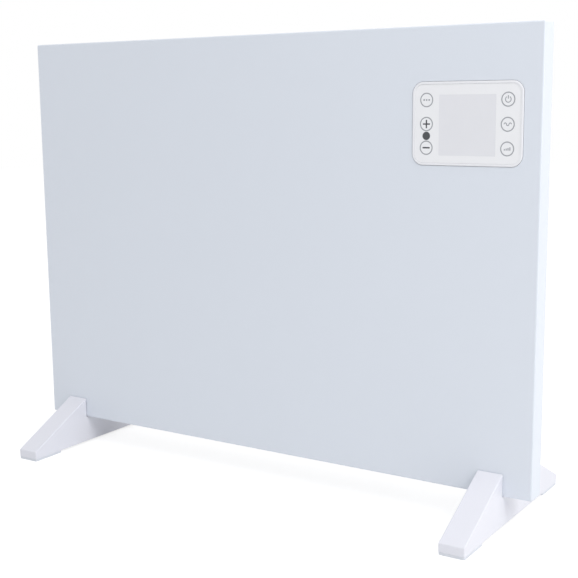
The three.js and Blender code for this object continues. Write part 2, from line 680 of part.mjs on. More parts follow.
// One wing of the X, upright, before it is leaned: a sheet with a folded lip and a row of windows.
function elementWing([x0, x1]) {
  const sheet = block([x0, x1], about(0, WING_SHEET), [HUB_RADIUS * 0.5, WING_LENGTH]);
  const lip = block([x0, x1], [-WING_SHEET / 2, WING_LIP], [WING_LENGTH - WING_SHEET, WING_LENGTH]);
  const count = Math.floor((x1 - x0 - WINDOW_PITCH + WINDOW_LENGTH) / WINDOW_PITCH);
  const middleZ = (HUB_RADIUS + WING_LENGTH - WING_SHEET) / 2;
  const windows = [];
  for (let i = 0; i < count; i += 1) {
    const x = (x0 + x1) / 2 + (i - (count - 1) / 2) * WINDOW_PITCH;
    windows.push(block(about(x, WINDOW_LENGTH), about(0, WING_SHEET + 2), about(middleZ, WINDOW_HEIGHT)));
  }
  return cut(joined(sheet, lip), windows);
}

// Four leaning wings on a hub with a bore for the heating rod.
function heatingElement() {
  const [x0, x1] = elementEnds();
  const wing = elementWing([x0, x1]);
  const mirrored = wing.mirror([0, 1, 0]);
  const leans = [WING_ANGLE, 180 - WING_ANGLE].flatMap((angle) => [
    wing.rotate([-angle, 0, 0]),
    mirrored.rotate([angle, 0, 0]),
  ]);
  const hub = pin(HUB_RADIUS, [x0, 0, 0], [1, 0, 0], x1 - x0, 16);
  const bore = pin(BORE_RADIUS, [x0 - PAST, 0, 0], [1, 0, 0], x1 - x0 + 2 * PAST, 16);
  return cut(joined(hub, leans), bore).translate([0, ELEMENT_Y, ELEMENT_Z]);
}

function rodEnds() {
  return [DUCT_LEFT - BUSH_FLANGE - FIT - 2, DUCT_RIGHT + BUSH_FLANGE + FIT + 2];
}

function elementRod() {
  const [x0, x1] = rodEnds();
  const profile = [
    [0, -STUD_LENGTH],
    [STUD_RADIUS, -STUD_LENGTH],
    [STUD_RADIUS, 0],
    [ROD_RADIUS, 0],
    [ROD_RADIUS, x1 - x0],
    [STUD_RADIUS, x1 - x0],
    [STUD_RADIUS, x1 - x0 + STUD_LENGTH],
    [0, x1 - x0 + STUD_LENGTH],
  ];
  return turned(profile, [x0, ELEMENT_Y, ELEMENT_Z], [1, 0, 0], 12);
}

// A ceramic bush in a side wall of the shield. inwards is +1 on the left wall and -1 on the right.
function elementBush(wallX, inwards) {
  const neckEnd = FIT + SHIELD_SHEET + BUSH_NECK;
  const profile = [
    [BORE_RADIUS, -BUSH_FLANGE],
    [BUSH_FLANGE_RADIUS - 1, -BUSH_FLANGE],
    [BUSH_FLANGE_RADIUS, 1 - BUSH_FLANGE],
    [BUSH_FLANGE_RADIUS, 0],
    [BUSH_NECK_RADIUS, 0],
    [BUSH_NECK_RADIUS, neckEnd],
    [BORE_RADIUS, neckEnd],
    [BORE_RADIUS, -BUSH_FLANGE],
  ];
  return turned(profile, [wallX - inwards * FIT, ELEMENT_Y, ELEMENT_Z], [inwards, 0, 0], 16);
}

// A disc thermostat with its flange on the shield and two blade terminals.
function thermalCutout() {
  const seat = SHIELD_FACE + SHIELD_SHEET + FIT;
  const z = ELEMENT_Z + CUTOUT_RISE;
  const flange = block(about(CUTOUT_X, 3.4 * CUTOUT_RADIUS), [seat, seat + 1.2], about(z, CUTOUT_RADIUS));
  const base = pin(CUTOUT_RADIUS, [CUTOUT_X, seat, z], [0, 1, 0], CUTOUT_HEIGHT * 0.55, 16);
  const cap = pin(CUTOUT_RADIUS * 0.8, [CUTOUT_X, seat, z], [0, 1, 0], CUTOUT_HEIGHT, 16);
  const blades = [-1, 1].map((side) =>
    block(about(CUTOUT_X + side * CUTOUT_RADIUS * 0.45, 0.8), [seat, seat + CUTOUT_HEIGHT + 7], about(z, 6)),
  );
  return joined(flange, base, cap, blades);
}

// ---------------------------------------------------------------- control module

function moduleOutline(width, height, corner) {
  return roundedRectangle([MODULE_X, MODULE_Z], width, height, corner);
}

// The ring round the lens, the ledge behind it and a flange behind the panel.
function controlBezel() {
  const outline = moduleOutline(MODULE_WIDTH, MODULE_HEIGHT, MODULE_CORNER);
  const body = softPushedY(outline, [RING_FACE, BEZEL_BACK], BEZEL_EDGE, 6);
  const spread = 2 * BEZEL_FLANGE;
  const flange = pushedY(
    moduleOutline(MODULE_WIDTH + spread, MODULE_HEIGHT + spread, MODULE_CORNER + BEZEL_FLANGE),
    [FLANGE_FACE, FLANGE_BACK],
  );
  const pocket = pushedY(
    moduleOutline(LENS_WIDTH + 2 * FIT, LENS_HEIGHT + 2 * FIT, LENS_CORNER + FIT),
    [RING_FACE - PAST, SHELF_FACE],
    6,
  );
  const narrow = 2 * BEZEL_SHELF;
  const through = pushedY(
    moduleOutline(LENS_WIDTH - narrow, LENS_HEIGHT - narrow, LENS_CORNER - BEZEL_SHELF),
    [RING_FACE - PAST, BEZEL_BACK + PAST],
  );
  return cut(joined(body, flange), pocket, through);
}

function touchLens() {
  return pushedY(moduleOutline(LENS_WIDTH, LENS_HEIGHT, LENS_CORNER), [LENS_FACE, LENS_BACK], 5);
}

function lcdDisplay() {
  return pushedY(moduleOutline(DISPLAY_WIDTH, DISPLAY_HEIGHT, 1.5), [DISPLAY_FACE, DISPLAY_BACK], 2);
}

function housingInner() {
  return { width: MODULE_WIDTH + 2 * FIT, height: MODULE_HEIGHT + 2 * FIT, corner: MODULE_CORNER + FIT };
}

function displayBoard() {
  const { width, height, corner } = housingInner();
  const outline = moduleOutline(width - 2 * BOARD_EDGE_GAP, height - 2 * BOARD_EDGE_GAP, corner);
  return pushedY(outline, [DISPLAY_BOARD_FACE, DISPLAY_BOARD_BACK], 2);
}

// The four standoffs behind a circuit board, given the board's half spacing.
function standoffs([x, z], [halfX, halfZ], [y0, y1]) {
  const places = [-1, 1].flatMap((sideX) => [-1, 1].map((sideZ) => [x + sideX * halfX, z + sideZ * halfZ]));
  return places.map(([postX, postZ]) => pin(STANDOFF / 2, [postX, y0, postZ], [0, 1, 0], y1 - y0, 12));
}

// The tray behind the panel that closes the module and carries its circuit board.
function controlHousing() {
  const { width, height, corner } = housingInner();
  const outline = moduleOutline(width + 2 * MODULE_WALL, height + 2 * MODULE_WALL, corner + MODULE_WALL);
  const deep = [HOUSING_FRONT - PAST, HOUSING_BACK - MODULE_WALL];
  const hollow = pushedY(moduleOutline(width, height, corner), deep);
  const spacing = [width / 2 - HOUSING_POST_INSET, height / 2 - HOUSING_POST_INSET];
  const posts = standoffs([MODULE_X, MODULE_Z], spacing, [DISPLAY_BOARD_BACK + FIT, HOUSING_BACK]);
  const cableSlot = block(
    about(MODULE_X, RIBBON_WIDTH + 4),
    [HOUSING_BACK - MODULE_WALL - PAST, HOUSING_BACK + PAST],
    about(MODULE_Z - height / 2 + CABLE_SLOT_RISE, 6),
  );
  return joined(cut(pushedY(outline, [HOUSING_FRONT, HOUSING_BACK]), hollow, cableSlot), posts);
}

// ---------------------------------------------------------------- electrical bay

function boardTray() {
  const base = block(about(TRAY_X, TRAY_WIDTH), [TRAY_FRONT, TRAY_BACK], about(TRAY_Z, TRAY_HEIGHT));
  const spacing = [TRAY_WIDTH / 2 - TRAY_POST_INSET, TRAY_HEIGHT / 2 - TRAY_POST_INSET];
  return joined(base, standoffs([TRAY_X, TRAY_Z], spacing, [TRAY_FRONT - TRAY_STANDOFF_HEIGHT, TRAY_BACK]));
}

function powerBoard() {
  return block(
    about(TRAY_X, TRAY_WIDTH - 2),
    [POWER_BOARD_FACE, POWER_BOARD_BACK],
    about(TRAY_Z, TRAY_HEIGHT - 2),
  );
}

function relay() {
  const [width, height, depth] = RELAY_SIZE;
  const back = POWER_BOARD_FACE - FIT;
  return pushedY(
    roundedRectangle([TRAY_X - TRAY_WIDTH / 4, TRAY_Z + TRAY_HEIGHT / 5], width, height, 1),
    [back - depth, back],
    2,
  );
}

function terminalZ() {
  return TRAY_Z - TRAY_HEIGHT / 2 + TERMINAL_SIZE[2] / 2 + 4;
}

// A row of clamps: a wire hole from below and a screw hole from the front for each way.
function terminalBlock() {
  const [width, depth, height] = TERMINAL_SIZE;
  const back = POWER_BOARD_FACE - FIT;
  const z = terminalZ();
  const body = block(about(TRAY_X, width), [back - depth, back], about(z, height));
  const pitch = width / TERMINAL_WAYS;
  const holes = [];
  for (let i = 0; i < TERMINAL_WAYS; i += 1) {
    const x = TRAY_X + (i - (TERMINAL_WAYS - 1) / 2) * pitch;
    holes.push(pin(LEAD_RADIUS + FIT, [x, back - depth / 2, z - height], [0, 0, 1], height, 8));
    holes.push(pin(pitch * 0.3, [x, back - depth - PAST, z + 1], [0, 1, 0], PAST + 2.5, 8));
  }
  return cut(body, holes);
}

function terminalWay(index) {
  const [width, depth, height] = TERMINAL_SIZE;
  const x = TRAY_X + (index - (TERMINAL_WAYS - 1) / 2) * (width / TERMINAL_WAYS);
  return [x, POWER_BOARD_FACE - FIT - depth / 2, terminalZ() - height / 2];
}

function switchBodyHeight() {
  const reach = ROCKER_HALF_HEIGHT * Math.cos(THREE.MathUtils.degToRad(ROCKER_TILT));
  const swing = (ROCKER_PIVOT_DEPTH + 1) * Math.sin(THREE.MathUtils.degToRad(ROCKER_TILT));
  return 2 * (reach + swing + FIT + SWITCH_WALL);
}

// The mains switch's body: a flange on the cover's side wall and a pocket for the rocker.
function rockerSwitchBody() {
  const halfOpen = ROCKER_WIDTH / 2 + FIT;
  const openHeight = switchBodyHeight() - 2 * SWITCH_WALL;
  const flange = block(
    [COVER_SIDE + FIT, SWITCH_FACE],
    about(BAY_MIDDLE_Y, SWITCH_FACE_WIDTH),
    about(SWITCH_Z, SWITCH_FACE_HEIGHT),
  );
  const body = block(
    [SWITCH_FACE - SWITCH_DEPTH, SWITCH_FACE],
    about(BAY_MIDDLE_Y, 2 * (halfOpen + SWITCH_WALL)),
    about(SWITCH_Z, switchBodyHeight()),
  );
  const pocket = block(
    [SWITCH_FACE - SWITCH_DEPTH + SWITCH_WALL, SWITCH_FACE + PAST],
    about(BAY_MIDDLE_Y, 2 * halfOpen),
    about(SWITCH_Z, openHeight),
  );
  const bearings = pin(
    TRUNNION_RADIUS + FIT,
    [SWITCH_PIVOT_X, BAY_MIDDLE_Y - ROCKER_WIDTH / 2 - TRUNNION_LENGTH - FIT, SWITCH_Z],
    [0, 1, 0],
    ROCKER_WIDTH + 2 * TRUNNION_LENGTH + 2 * FIT,
    12,
  );
  const blades = [-1, 1].map((side) =>
    block(
      [SWITCH_FACE - SWITCH_DEPTH - SWITCH_BLADE, SWITCH_FACE - SWITCH_DEPTH + 1],
      about(BAY_MIDDLE_Y, 4.8),
      about(SWITCH_Z + side * SWITCH_BLADE_OFFSET, 0.8),
    ),
  );
  return joined(cut(joined(flange, body), pocket, bearings), blades);
}

// The rocker, tilted to one throw: a shallow V outside, a round belly inside and two trunnions.
function rockerSwitchKey() {
  const tilt = THREE.MathUtils.degToRad(ROCKER_TILT);
  const valley = ROCKER_PIVOT_DEPTH - 1;
  const peak = valley + ROCKER_HALF_HEIGHT * Math.tan(tilt);
  const outline = new THREE.Shape();
  outline.moveTo(-ROCKER_BELLY, 0);
  outline.absarc(0, 0, ROCKER_BELLY, Math.PI, 1.5 * Math.PI);
  outline.lineTo(peak, -ROCKER_HALF_HEIGHT);
  outline.lineTo(valley, 0);
  outline.lineTo(peak, ROCKER_HALF_HEIGHT);
  outline.lineTo(0, ROCKER_BELLY);
  outline.absarc(0, 0, ROCKER_BELLY, Math.PI / 2, Math.PI);
  const body = pushedY(outline, about(0, ROCKER_WIDTH));
  const span = ROCKER_WIDTH + 2 * TRUNNION_LENGTH;
  const trunnions = pin(TRUNNION_RADIUS, [0, -span / 2, 0], [0, 1, 0], span, 12);
  const pivot = [SWITCH_PIVOT_X, BAY_MIDDLE_Y, SWITCH_Z];
  return joined(body, trunnions).rotate([0, -ROCKER_TILT, 0]).translate(pivot);
}

// The tip-over switch's case, open at the front, with a blind seat for the pin in each side wall.
function tiltSwitchCase() {
  const inner = TILT_WIDTH - 2 * TILT_WALL;
  const tall = [TILT_BOTTOM, TILT_BOTTOM + TILT_HEIGHT];
  const body = block(about(TILT_X, TILT_WIDTH), about(TILT_Y, TILT_DEPTH), tall);
  const hollow = block(
    about(TILT_X, inner),
    [TILT_Y - TILT_DEPTH / 2 - PAST, TILT_BACK - TILT_WALL],
    [TILT_BOTTOM + TILT_WALL, TILT_BOTTOM + TILT_HEIGHT - TILT_WALL],
  );
  const seats = pin(
    TILT_PIN_RADIUS + FIT,
    [TILT_X - inner / 2 - TILT_PIN_SEAT, TILT_Y, TILT_PIVOT_Z],
    [1, 0, 0],
    inner + 2 * TILT_PIN_SEAT,
    12,
  );
  return cut(body, hollow, seats);
}

function tiltSwitchPin() {
  const length = TILT_WIDTH - 2 * TILT_WALL + 2 * (TILT_PIN_SEAT - FIT);
  return pin(TILT_PIN_RADIUS, [TILT_X - length / 2, TILT_Y, TILT_PIVOT_Z], [1, 0, 0], length, 12);
}

// A ring on the pin, an arm and a round weight.
function tiltSwitchPendulum() {
  const ringLength = TILT_BOB_LENGTH - 2;
  const ring = tube(
    TILT_PIN_RADIUS + FIT + TILT_RING_WALL,
    TILT_PIN_RADIUS + FIT,
    [TILT_X - ringLength / 2, TILT_Y, TILT_PIVOT_Z],
    [1, 0, 0],
    ringLength,
    12,
  );
  const armTop = TILT_PIVOT_Z - TILT_PIN_RADIUS - FIT - 0.6;
  const arm = block(about(TILT_X, 4), about(TILT_Y, 2.4), [TILT_PIVOT_Z - TILT_ARM, armTop]);
  const bob = pin(
    TILT_BOB_RADIUS,
    [TILT_X - TILT_BOB_LENGTH / 2, TILT_Y, TILT_PIVOT_Z - TILT_ARM],
    [1, 0, 0],
    TILT_BOB_LENGTH,
    16,
  );
  return joined(ring, arm, bob);
}

// The bush that the mains lead would pass, in the cover's floor.
function cordGland() {
  const top = GLAND_FLANGE + FIT + GLAND_NECK;
  const mouth = GLAND_BORE_RADIUS + 1.5;
  const profile = [
    [mouth, 0],
    [GLAND_FLANGE_RADIUS - 1.5, 0],
    [GLAND_FLANGE_RADIUS, 1.5],
    [GLAND_FLANGE_RADIUS, GLAND_FLANGE],
    [GLAND_NECK_RADIUS, GLAND_FLANGE],
    [GLAND_NECK_RADIUS, top],
    [GLAND_BORE_RADIUS, top],
    [GLAND_BORE_RADIUS, 2],
    [mouth, 0],
  ];
  return turned(profile, [GLAND_X, BAY_MIDDLE_Y, COVER_BOTTOM - FIT - GLAND_FLANGE], [0, 0, 1], 16);
}

// The room sensor: a bead on a stem that stands on the cover's floor beside the air inlet.
function roomSensor() {
  const seat = COVER_BOTTOM + COVER_SHEET + FIT;
  const profile = [
    [0, 0],
    [2 * SENSOR_RADIUS, 0],
    [2 * SENSOR_RADIUS, 2],
    [SENSOR_RADIUS * 0.6, 2.6],
    [SENSOR_RADIUS * 0.6, SENSOR_HEIGHT * 0.55],
    [SENSOR_RADIUS, SENSOR_HEIGHT * 0.65],
    [SENSOR_RADIUS, SENSOR_HEIGHT * 0.9],
    [SENSOR_RADIUS * 0.6, SENSOR_HEIGHT],
    [0, SENSOR_HEIGHT],
  ];
  return turned(profile, [SENSOR_X, BAY_MIDDLE_Y, seat], [0, 0, 1], 12);
}

function leadSection() {
  return new THREE.Shape().absarc(0, 0, LEAD_RADIUS, 0, 2 * Math.PI);
}

function leadGeometry(points, steps) {
  const section = new THREE.Shape(leadSection().getPoints(8).slice(0, 8));
  return swept(section, points, steps);
}

// From the terminal block, down and along the floor behind the panel, up to the left stud.
function leftElementLead() {
  const [x, y, z] = terminalWay(1);
  const studX = rodEnds()[0] - STUD_LENGTH - FIT;
  const runZ = SHIELD_BOTTOM - 16;
  const runY = SHIELD_FACE + 6;
  return leadGeometry(
    [
      [x, y, z + 2],
      [x, y, z - 10],
      [x - 3, runY, z - 40],
      [DUCT_RIGHT + 4, runY, runZ + 6],
      [DUCT_RIGHT - 20, runY, runZ],
      [DUCT_LEFT + 20, runY, runZ],
      [DUCT_LEFT - 8, runY + 2, runZ + 12],
      [studX - 12, ELEMENT_Y - 8, ELEMENT_Z - 24],
      [studX - 10, ELEMENT_Y, ELEMENT_Z],
      [studX, ELEMENT_Y, ELEMENT_Z],
    ],
    42,
  );
}

function rightElementLead() {
  const [x, y, z] = terminalWay(0);
  const studX = rodEnds()[1] + STUD_LENGTH + FIT;
  return leadGeometry(
    [
      [x, y, z + 2],
      [x, y, z - 8],
      [x - 6, y - 4, z - 18],
      [studX + 14, ELEMENT_Y, ELEMENT_Z - 14],
      [studX + 8, ELEMENT_Y, ELEMENT_Z],
      [studX, ELEMENT_Y, ELEMENT_Z],
    ],
    20,
  );
}

function switchLead() {
  const [x, y, z] = terminalWay(3);
  const bladeX = SWITCH_FACE - SWITCH_DEPTH - SWITCH_BLADE - FIT;
  const bladeZ = SWITCH_Z + SWITCH_BLADE_OFFSET;
  return leadGeometry(
    [
      [x, y, z + 2],
      [x, y, z - 10],
      [x + 2, y - 2, z - 30],
      [bladeX - 10, BAY_MIDDLE_Y, bladeZ + 7],
      [bladeX - 6, BAY_MIDDLE_Y, bladeZ],
      [bladeX, BAY_MIDDLE_Y, bladeZ],
    ],
    22,
  );
}

// The flat cable from the display board, through the housing's slot, to the power board.
function displayCable() {
  const slotZ = MODULE_Z - housingInner().height / 2 + CABLE_SLOT_RISE;
  const boardTop = TRAY_Z + TRAY_HEIGHT / 2 - 8;
  const section = outlineOf([
    [-RIBBON_THICKNESS / 2, -RIBBON_WIDTH / 2],
    [RIBBON_THICKNESS / 2, -RIBBON_WIDTH / 2],
    [RIBBON_THICKNESS / 2, RIBBON_WIDTH / 2],
    [-RIBBON_THICKNESS / 2, RIBBON_WIDTH / 2],
  ]);
  return swept(
    section,
    [
      [MODULE_X, DISPLAY_BOARD_BACK + FIT, slotZ],
      [MODULE_X, HOUSING_BACK + 4, slotZ],
      [MODULE_X, HOUSING_BACK + 10, slotZ - 14],
      [MODULE_X, POWER_BOARD_FACE - 12, boardTop + 12],
      [MODULE_X, POWER_BOARD_FACE - 8, boardTop],
      [MODULE_X, POWER_BOARD_FACE - FIT, boardTop],
    ],
    24,
  );
}

// ---------------------------------------------------------------- feet

const RAMP_SLOPE = (FOOT_TOP - FOOT_TIP) / (FOOT_LENGTH / 2 - FOOT_NOTCH);

// The height of a foot's sloping top, lowered by a wall's thickness measured square to it.
function rampHeight(y, wall) {
  return FOOT_TIP + (FOOT_LENGTH / 2 - Math.abs(y)) * RAMP_SLOPE - wall * Math.hypot(1, RAMP_SLOPE);
}

// The foot's side view as (y, z) points, drawn in by a wall, with its lower edge at a height.
function footOutline(wall, bottom) {
  const tip = FOOT_LENGTH / 2 - wall;
  const upright = FOOT_NOTCH + wall;
  const step = FOOT_STEP_Y + wall;
  return outlineOf([
    [-tip, bottom],
    [tip, bottom],
    [tip, rampHeight(tip, wall)],
    [upright, rampHeight(upright, wall)],
    [upright, FOOT_HIGH_SEAT - wall],
    [step, FOOT_HIGH_SEAT - wall],
    [step, FOOT_LOW_SEAT - wall],
    [-upright, FOOT_LOW_SEAT - wall],
    [-upright, rampHeight(upright, wall)],
    [-tip, rampHeight(tip, wall)],
  ]);
}

function padRibY() {
  return FOOT_LENGTH / 2 - PAD_LENGTH - FOOT_RIB / 2;
}

// A hollow moulding, open below, with a stepped saddle for the body, ribs and two screw bosses.
function foot(x) {
  const across = about(x, FOOT_WIDTH);
  const inside = about(x, FOOT_WIDTH - 2 * FOOT_WALL);
  const outer = softPushedX(footOutline(0, FOOT_BOTTOM), across, FOOT_EDGE);
  const hollow = pushedX(footOutline(FOOT_WALL, FOOT_BOTTOM - PAST), inside);
  const ribPlaces = [-padRibY(), -FOOT_NOTCH - FOOT_WALL / 2, FOOT_NOTCH + FOOT_WALL / 2, padRibY()];
  const ribs = ribPlaces.map((y) => block(inside, about(y, FOOT_RIB), [FOOT_BOTTOM, FOOT_TOP]));
  const bosses = FOOT_SCREWS.map(({ y, seat }) =>
    pin(FOOT_BOSS / 2, [x, y, seat - FOOT_BOSS_DEPTH], [0, 0, 1], FOOT_BOSS_DEPTH, 12),
  );
  const bore = FOOT_SCREW_SHANK / 2 + FIT;
  const holes = FOOT_SCREWS.map(({ y, seat }) =>
    pin(bore, [x, y, seat - FOOT_BOSS_DEPTH - PAST], [0, 0, 1], FOOT_BOSS_DEPTH + 2 * PAST, 12),
  );
  const filling = joined(ribs, bosses).intersect(outer);
  return cut(joined(cut(outer, hollow), filling), holes);
}

function footScrew(x, { y, seat, sheet }) {
  const start = seat - FOOT_BOSS_DEPTH - FIT;
  return screw(
    FOOT_SCREW_HEAD / 2,
    FOOT_SCREW_HEAD_HEIGHT,
    FOOT_SCREW_SHANK / 2,
    sheet - start + FOOT_SCREW_GRIP,
    [x, y, start],
    [0, 0, 1],
  );
}

// A rubber pad under one end of a foot, with a plug inside the foot's walls.
function footPad(x, end) {
  const near = FOOT_LENGTH / 2 - PAD_LENGTH;
  const far = FOOT_LENGTH / 2;
  const span = (a, b) => (end < 0 ? [-b, -a] : [a, b]);
  const sole = block(about(x, FOOT_WIDTH), span(near, far), [0, PAD_THICKNESS]);
  const plug = block(
    about(x, FOOT_WIDTH - 2 * FOOT_WALL - 2 * FIT),
    span(near + FIT, far - FOOT_WALL - FIT),
    [0, PAD_THICKNESS + PAD_PLUG],
  );
  return joined(sole, plug);
}

function addFeet() {
  [["left", -FOOT_X], ["right", FOOT_X]].forEach(([side, x]) => {
    addSolid(`foot_${side}`, foot(x), WHITE_ABS());
    addSolid(`foot_pad_${side}_front`, footPad(x, -1), RUBBER());
    addSolid(`foot_pad_${side}_rear`, footPad(x, 1), RUBBER());
    addSolid(`foot_screw_${side}_front`, footScrew(x, FOOT_SCREWS[0]), ZINC());
    addSolid(`foot_screw_${side}_rear`, footScrew(x, FOOT_SCREWS[1]), ZINC());
  });
}

// ---------------------------------------------------------------- the heater

addSolid("front_panel", frontPanel(), ENAMEL());
addSolid("rear_cover", rearCover(), COVER_ENAMEL());
addCoverScrews();
addSolid(
  "air_outlet_grille",
  grille({ middleX: 0, length: OUTLET_LENGTH, face: COVER_TOP, out: 1, leanDegrees: OUTLET_LEAN }),
  GREY_ABS(),
);
addSolid(
  "air_inlet_grille",
  grille({ middleX: DUCT_MIDDLE_X, length: INLET_LENGTH, face: COVER_BOTTOM, out: -1, leanDegrees: 0 }),
  GREY_ABS(),
);

addSolid("heat_shield", heatShield(), ZINC());
addSolid("heating_element", heatingElement(), ALUMINIUM());
addSolid("element_rod", elementRod(), STEEL_TUBE());
addSolid("element_bush_left", elementBush(DUCT_LEFT, 1), CERAMIC());
addSolid("element_bush_right", elementBush(DUCT_RIGHT, -1), CERAMIC());
addSolid("thermal_cutout", thermalCutout(), BLACK_NYLON());

addSolid("control_bezel", controlBezel(), WHITE_ABS());
addSolid("touch_lens", touchLens(), LENS_WHITE());
addSolid("lcd_display", lcdDisplay(), DISPLAY_GREY());
addSolid("display_board", displayBoard(), BOARD_GREEN());
addSolid("control_housing", controlHousing(), WHITE_ABS());

addSolid("board_tray", boardTray(), BLACK_NYLON());
addSolid("power_board", powerBoard(), BOARD_GREEN());
addSolid("relay", relay(), BLACK_NYLON());
addSolid("terminal_block", terminalBlock(), CERAMIC());
addSolid("rocker_switch_body", rockerSwitchBody(), BLACK_NYLON());
addSolid("rocker_switch_key", rockerSwitchKey(), BLACK_NYLON());
addSolid("tilt_switch_case", tiltSwitchCase(), WHITE_ABS());
addSolid("tilt_switch_pin", tiltSwitchPin(), ZINC());
addSolid("tilt_switch_pendulum", tiltSwitchPendulum(), ZINC());
addSolid("cord_gland", cordGland(), BLACK_NYLON());
addSolid("room_sensor", roomSensor(), BLACK_NYLON());
add("element_lead_left", leftElementLead(), SILICONE_WHITE());
add("element_lead_right", rightElementLead(), SILICONE_BROWN());
add("switch_lead", switchLead(), SILICONE_BROWN());
add("display_cable", displayCable(), SILICONE_WHITE());

addFeet();

export default heater;
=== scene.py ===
"""Wall panel convector heater on its feet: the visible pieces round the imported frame.

Metres, +Z up. The front faces -Y, and the origin lies on the floor below the middle of the heater.
"""

import json
import math

import bmesh
import bpy
from mathutils import Matrix, Vector


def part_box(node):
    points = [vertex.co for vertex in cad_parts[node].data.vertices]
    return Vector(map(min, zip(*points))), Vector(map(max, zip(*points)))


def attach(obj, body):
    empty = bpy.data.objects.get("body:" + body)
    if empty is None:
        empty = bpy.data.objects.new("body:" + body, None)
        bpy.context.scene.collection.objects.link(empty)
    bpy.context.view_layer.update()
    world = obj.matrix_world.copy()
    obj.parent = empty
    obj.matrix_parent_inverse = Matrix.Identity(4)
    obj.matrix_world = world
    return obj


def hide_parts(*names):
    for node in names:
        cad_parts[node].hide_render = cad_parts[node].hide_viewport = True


bl_info = {
    "name": "Panel Convector Heater",
    "version": (1, 0, 0),
    "blender": (4, 5, 0),
    "location": "3D View > Sidebar > Heater",
    "description": "Builds the pieces, finishes and studio of a panel convector heater",
    "category": "Object",
}

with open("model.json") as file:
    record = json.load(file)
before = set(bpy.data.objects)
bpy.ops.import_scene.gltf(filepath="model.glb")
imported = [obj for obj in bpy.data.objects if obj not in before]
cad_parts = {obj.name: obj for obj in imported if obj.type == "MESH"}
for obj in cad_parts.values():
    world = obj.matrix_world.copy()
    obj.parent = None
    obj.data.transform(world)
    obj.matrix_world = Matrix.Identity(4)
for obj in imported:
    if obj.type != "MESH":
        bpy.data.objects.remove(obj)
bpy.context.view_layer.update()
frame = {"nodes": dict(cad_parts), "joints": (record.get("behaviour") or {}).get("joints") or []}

MM = 0.001
FIT = 0.3 * MM
DRAFT = 0.03 * MM
SAME_PLACE = 1e-7
HALF_TURN = math.pi
QUARTER_TURN = math.pi / 2
# The angle past which an edge is shaded sharp.
CREASE = math.radians(35.0)
SIDES = ("left", "right")
ENDS = ("front", "rear")


def linear(text):
    """An sRGB hex colour, such as #E6EAF2, as linear red, green and blue."""
    shares = [int(text[i : i + 2], 16) / 255 for i in (1, 3, 5)]
    return tuple(s / 12.92 if s <= 0.04045 else ((s + 0.055) / 1.055) ** 2.4 for s in shares)


def span(node):
    """A CAD node's lowest corner, highest corner and middle."""
    low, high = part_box(node)
    return low, high, (low + high) / 2


PANEL_LOW, PANEL_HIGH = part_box("front_panel")
COVER_LOW, COVER_HIGH, COVER_MIDDLE = span("rear_cover")
BEZEL_LOW, BEZEL_HIGH, BEZEL_MIDDLE = span("control_bezel")
LENS_LOW, LENS_HIGH, LENS_MIDDLE = span("touch_lens")

# Half the length of a cutter that goes through a sheet.
THROUGH = 3 * MM

# The control module's hole and ring.
MODULE_SIZE = (107 * MM, 75 * MM)
MODULE_CORNER = 10.5 * MM
MODULE_GAP = 0.4 * MM

# Screws: the height of the head, the radii of the shank and of its hole, and a cover screw's length.
COVER_SCREW_HEAD = 2.4 * MM
COVER_SCREW_SHANK = 1.75 * MM
COVER_SCREW_LENGTH = 8 * MM
COVER_SCREW_HOLE = 2.05 * MM
FOOT_SCREW_HEAD = 2.6 * MM
FOOT_SCREW_SHANK = 2.0 * MM
FOOT_SCREW_HOLE = 2.3 * MM


# ---- settings


def length(name, description, millimetres):
    return bpy.props.FloatProperty(
        name=name,
        description=description,
        default=millimetres * MM,
        min=0.0,
        max=1.0,
        subtype="DISTANCE",
        unit="LENGTH",
        precision=5,
    )


def colour(name, description, text):
    return bpy.props.FloatVectorProperty(
        name=name, description=description, default=linear(text), min=0.0, max=1.0, size=3, subtype="COLOR"
    )


def power(name, description, watts):
    return bpy.props.FloatProperty(
        name=name, description=description, default=watts, min=0.0, subtype="POWER", unit="POWER"
    )


def angle(name, description, degrees):
    return bpy.props.FloatProperty(
        name=name, description=description, default=math.radians(degrees), subtype="ANGLE", unit="ROTATION"
    )


class HeaterSizes(bpy.types.PropertyGroup):
    """Sizes of the visible pieces that the frame doesn't give by itself."""

    panel_sheet: length("Panel sheet", "Thickness of the front panel's steel", 1.0)
    panel_fold: length("Panel fold", "Outer radius of the front panel's folds", 1.6)
    panel_lip: length("Panel lip", "Width of the fold behind each edge", 11)
    cover_sheet: length("Cover sheet", "Thickness of the rear cover's steel", 0.8)
    cover_side_inset: length("Side inset", "Rear cover's side walls, in from the panel's", 24)
    cover_top_inset: length("Top inset", "Rear cover's top, below the panel's", 24)
    cover_bottom_inset: length("Bottom inset", "Rear cover's floor, above the panel's", 14)
    cover_corner: length("Cover corner", "Radius of the rear cover's corners", 12)
    cover_edge: length("Cover edge", "Rounding round the rear cover's back", 6)
    bead_depth: length("Bead depth", "Depth of the pressed stiffening beads", 1.5)
    bead_width: length("Bead width", "Width of the pressed stiffening beads", 8)
    foot_wall: length("Foot wall", "Wall of the moulded feet", 2.4)
    foot_edge: length("Foot edge", "Rounding of the feet's outer edges", 1.1)
    foot_tip: length("Foot tip", "Height of a foot's tip above the floor", 11)
    foot_rib: length("Foot rib", "Thickness of the ribs inside a foot", 2)
    foot_boss: length("Foot boss", "Diameter of the bosses round a foot's screws", 10)
    foot_boss_depth: length("Boss depth", "Seat of the body to the end of a boss", 14)
    pad_thickness: length("Pad thickness", "Height of a pad's sole below its foot", 2.75)
    print_height: length("Print height", "Thickness of the printed key marks", 0.03)
    key_diameter: length("Key ring", "Outer diameter of a printed key ring", 13)
    key_line: length("Key line", "Line width of a printed key ring", 1.0)


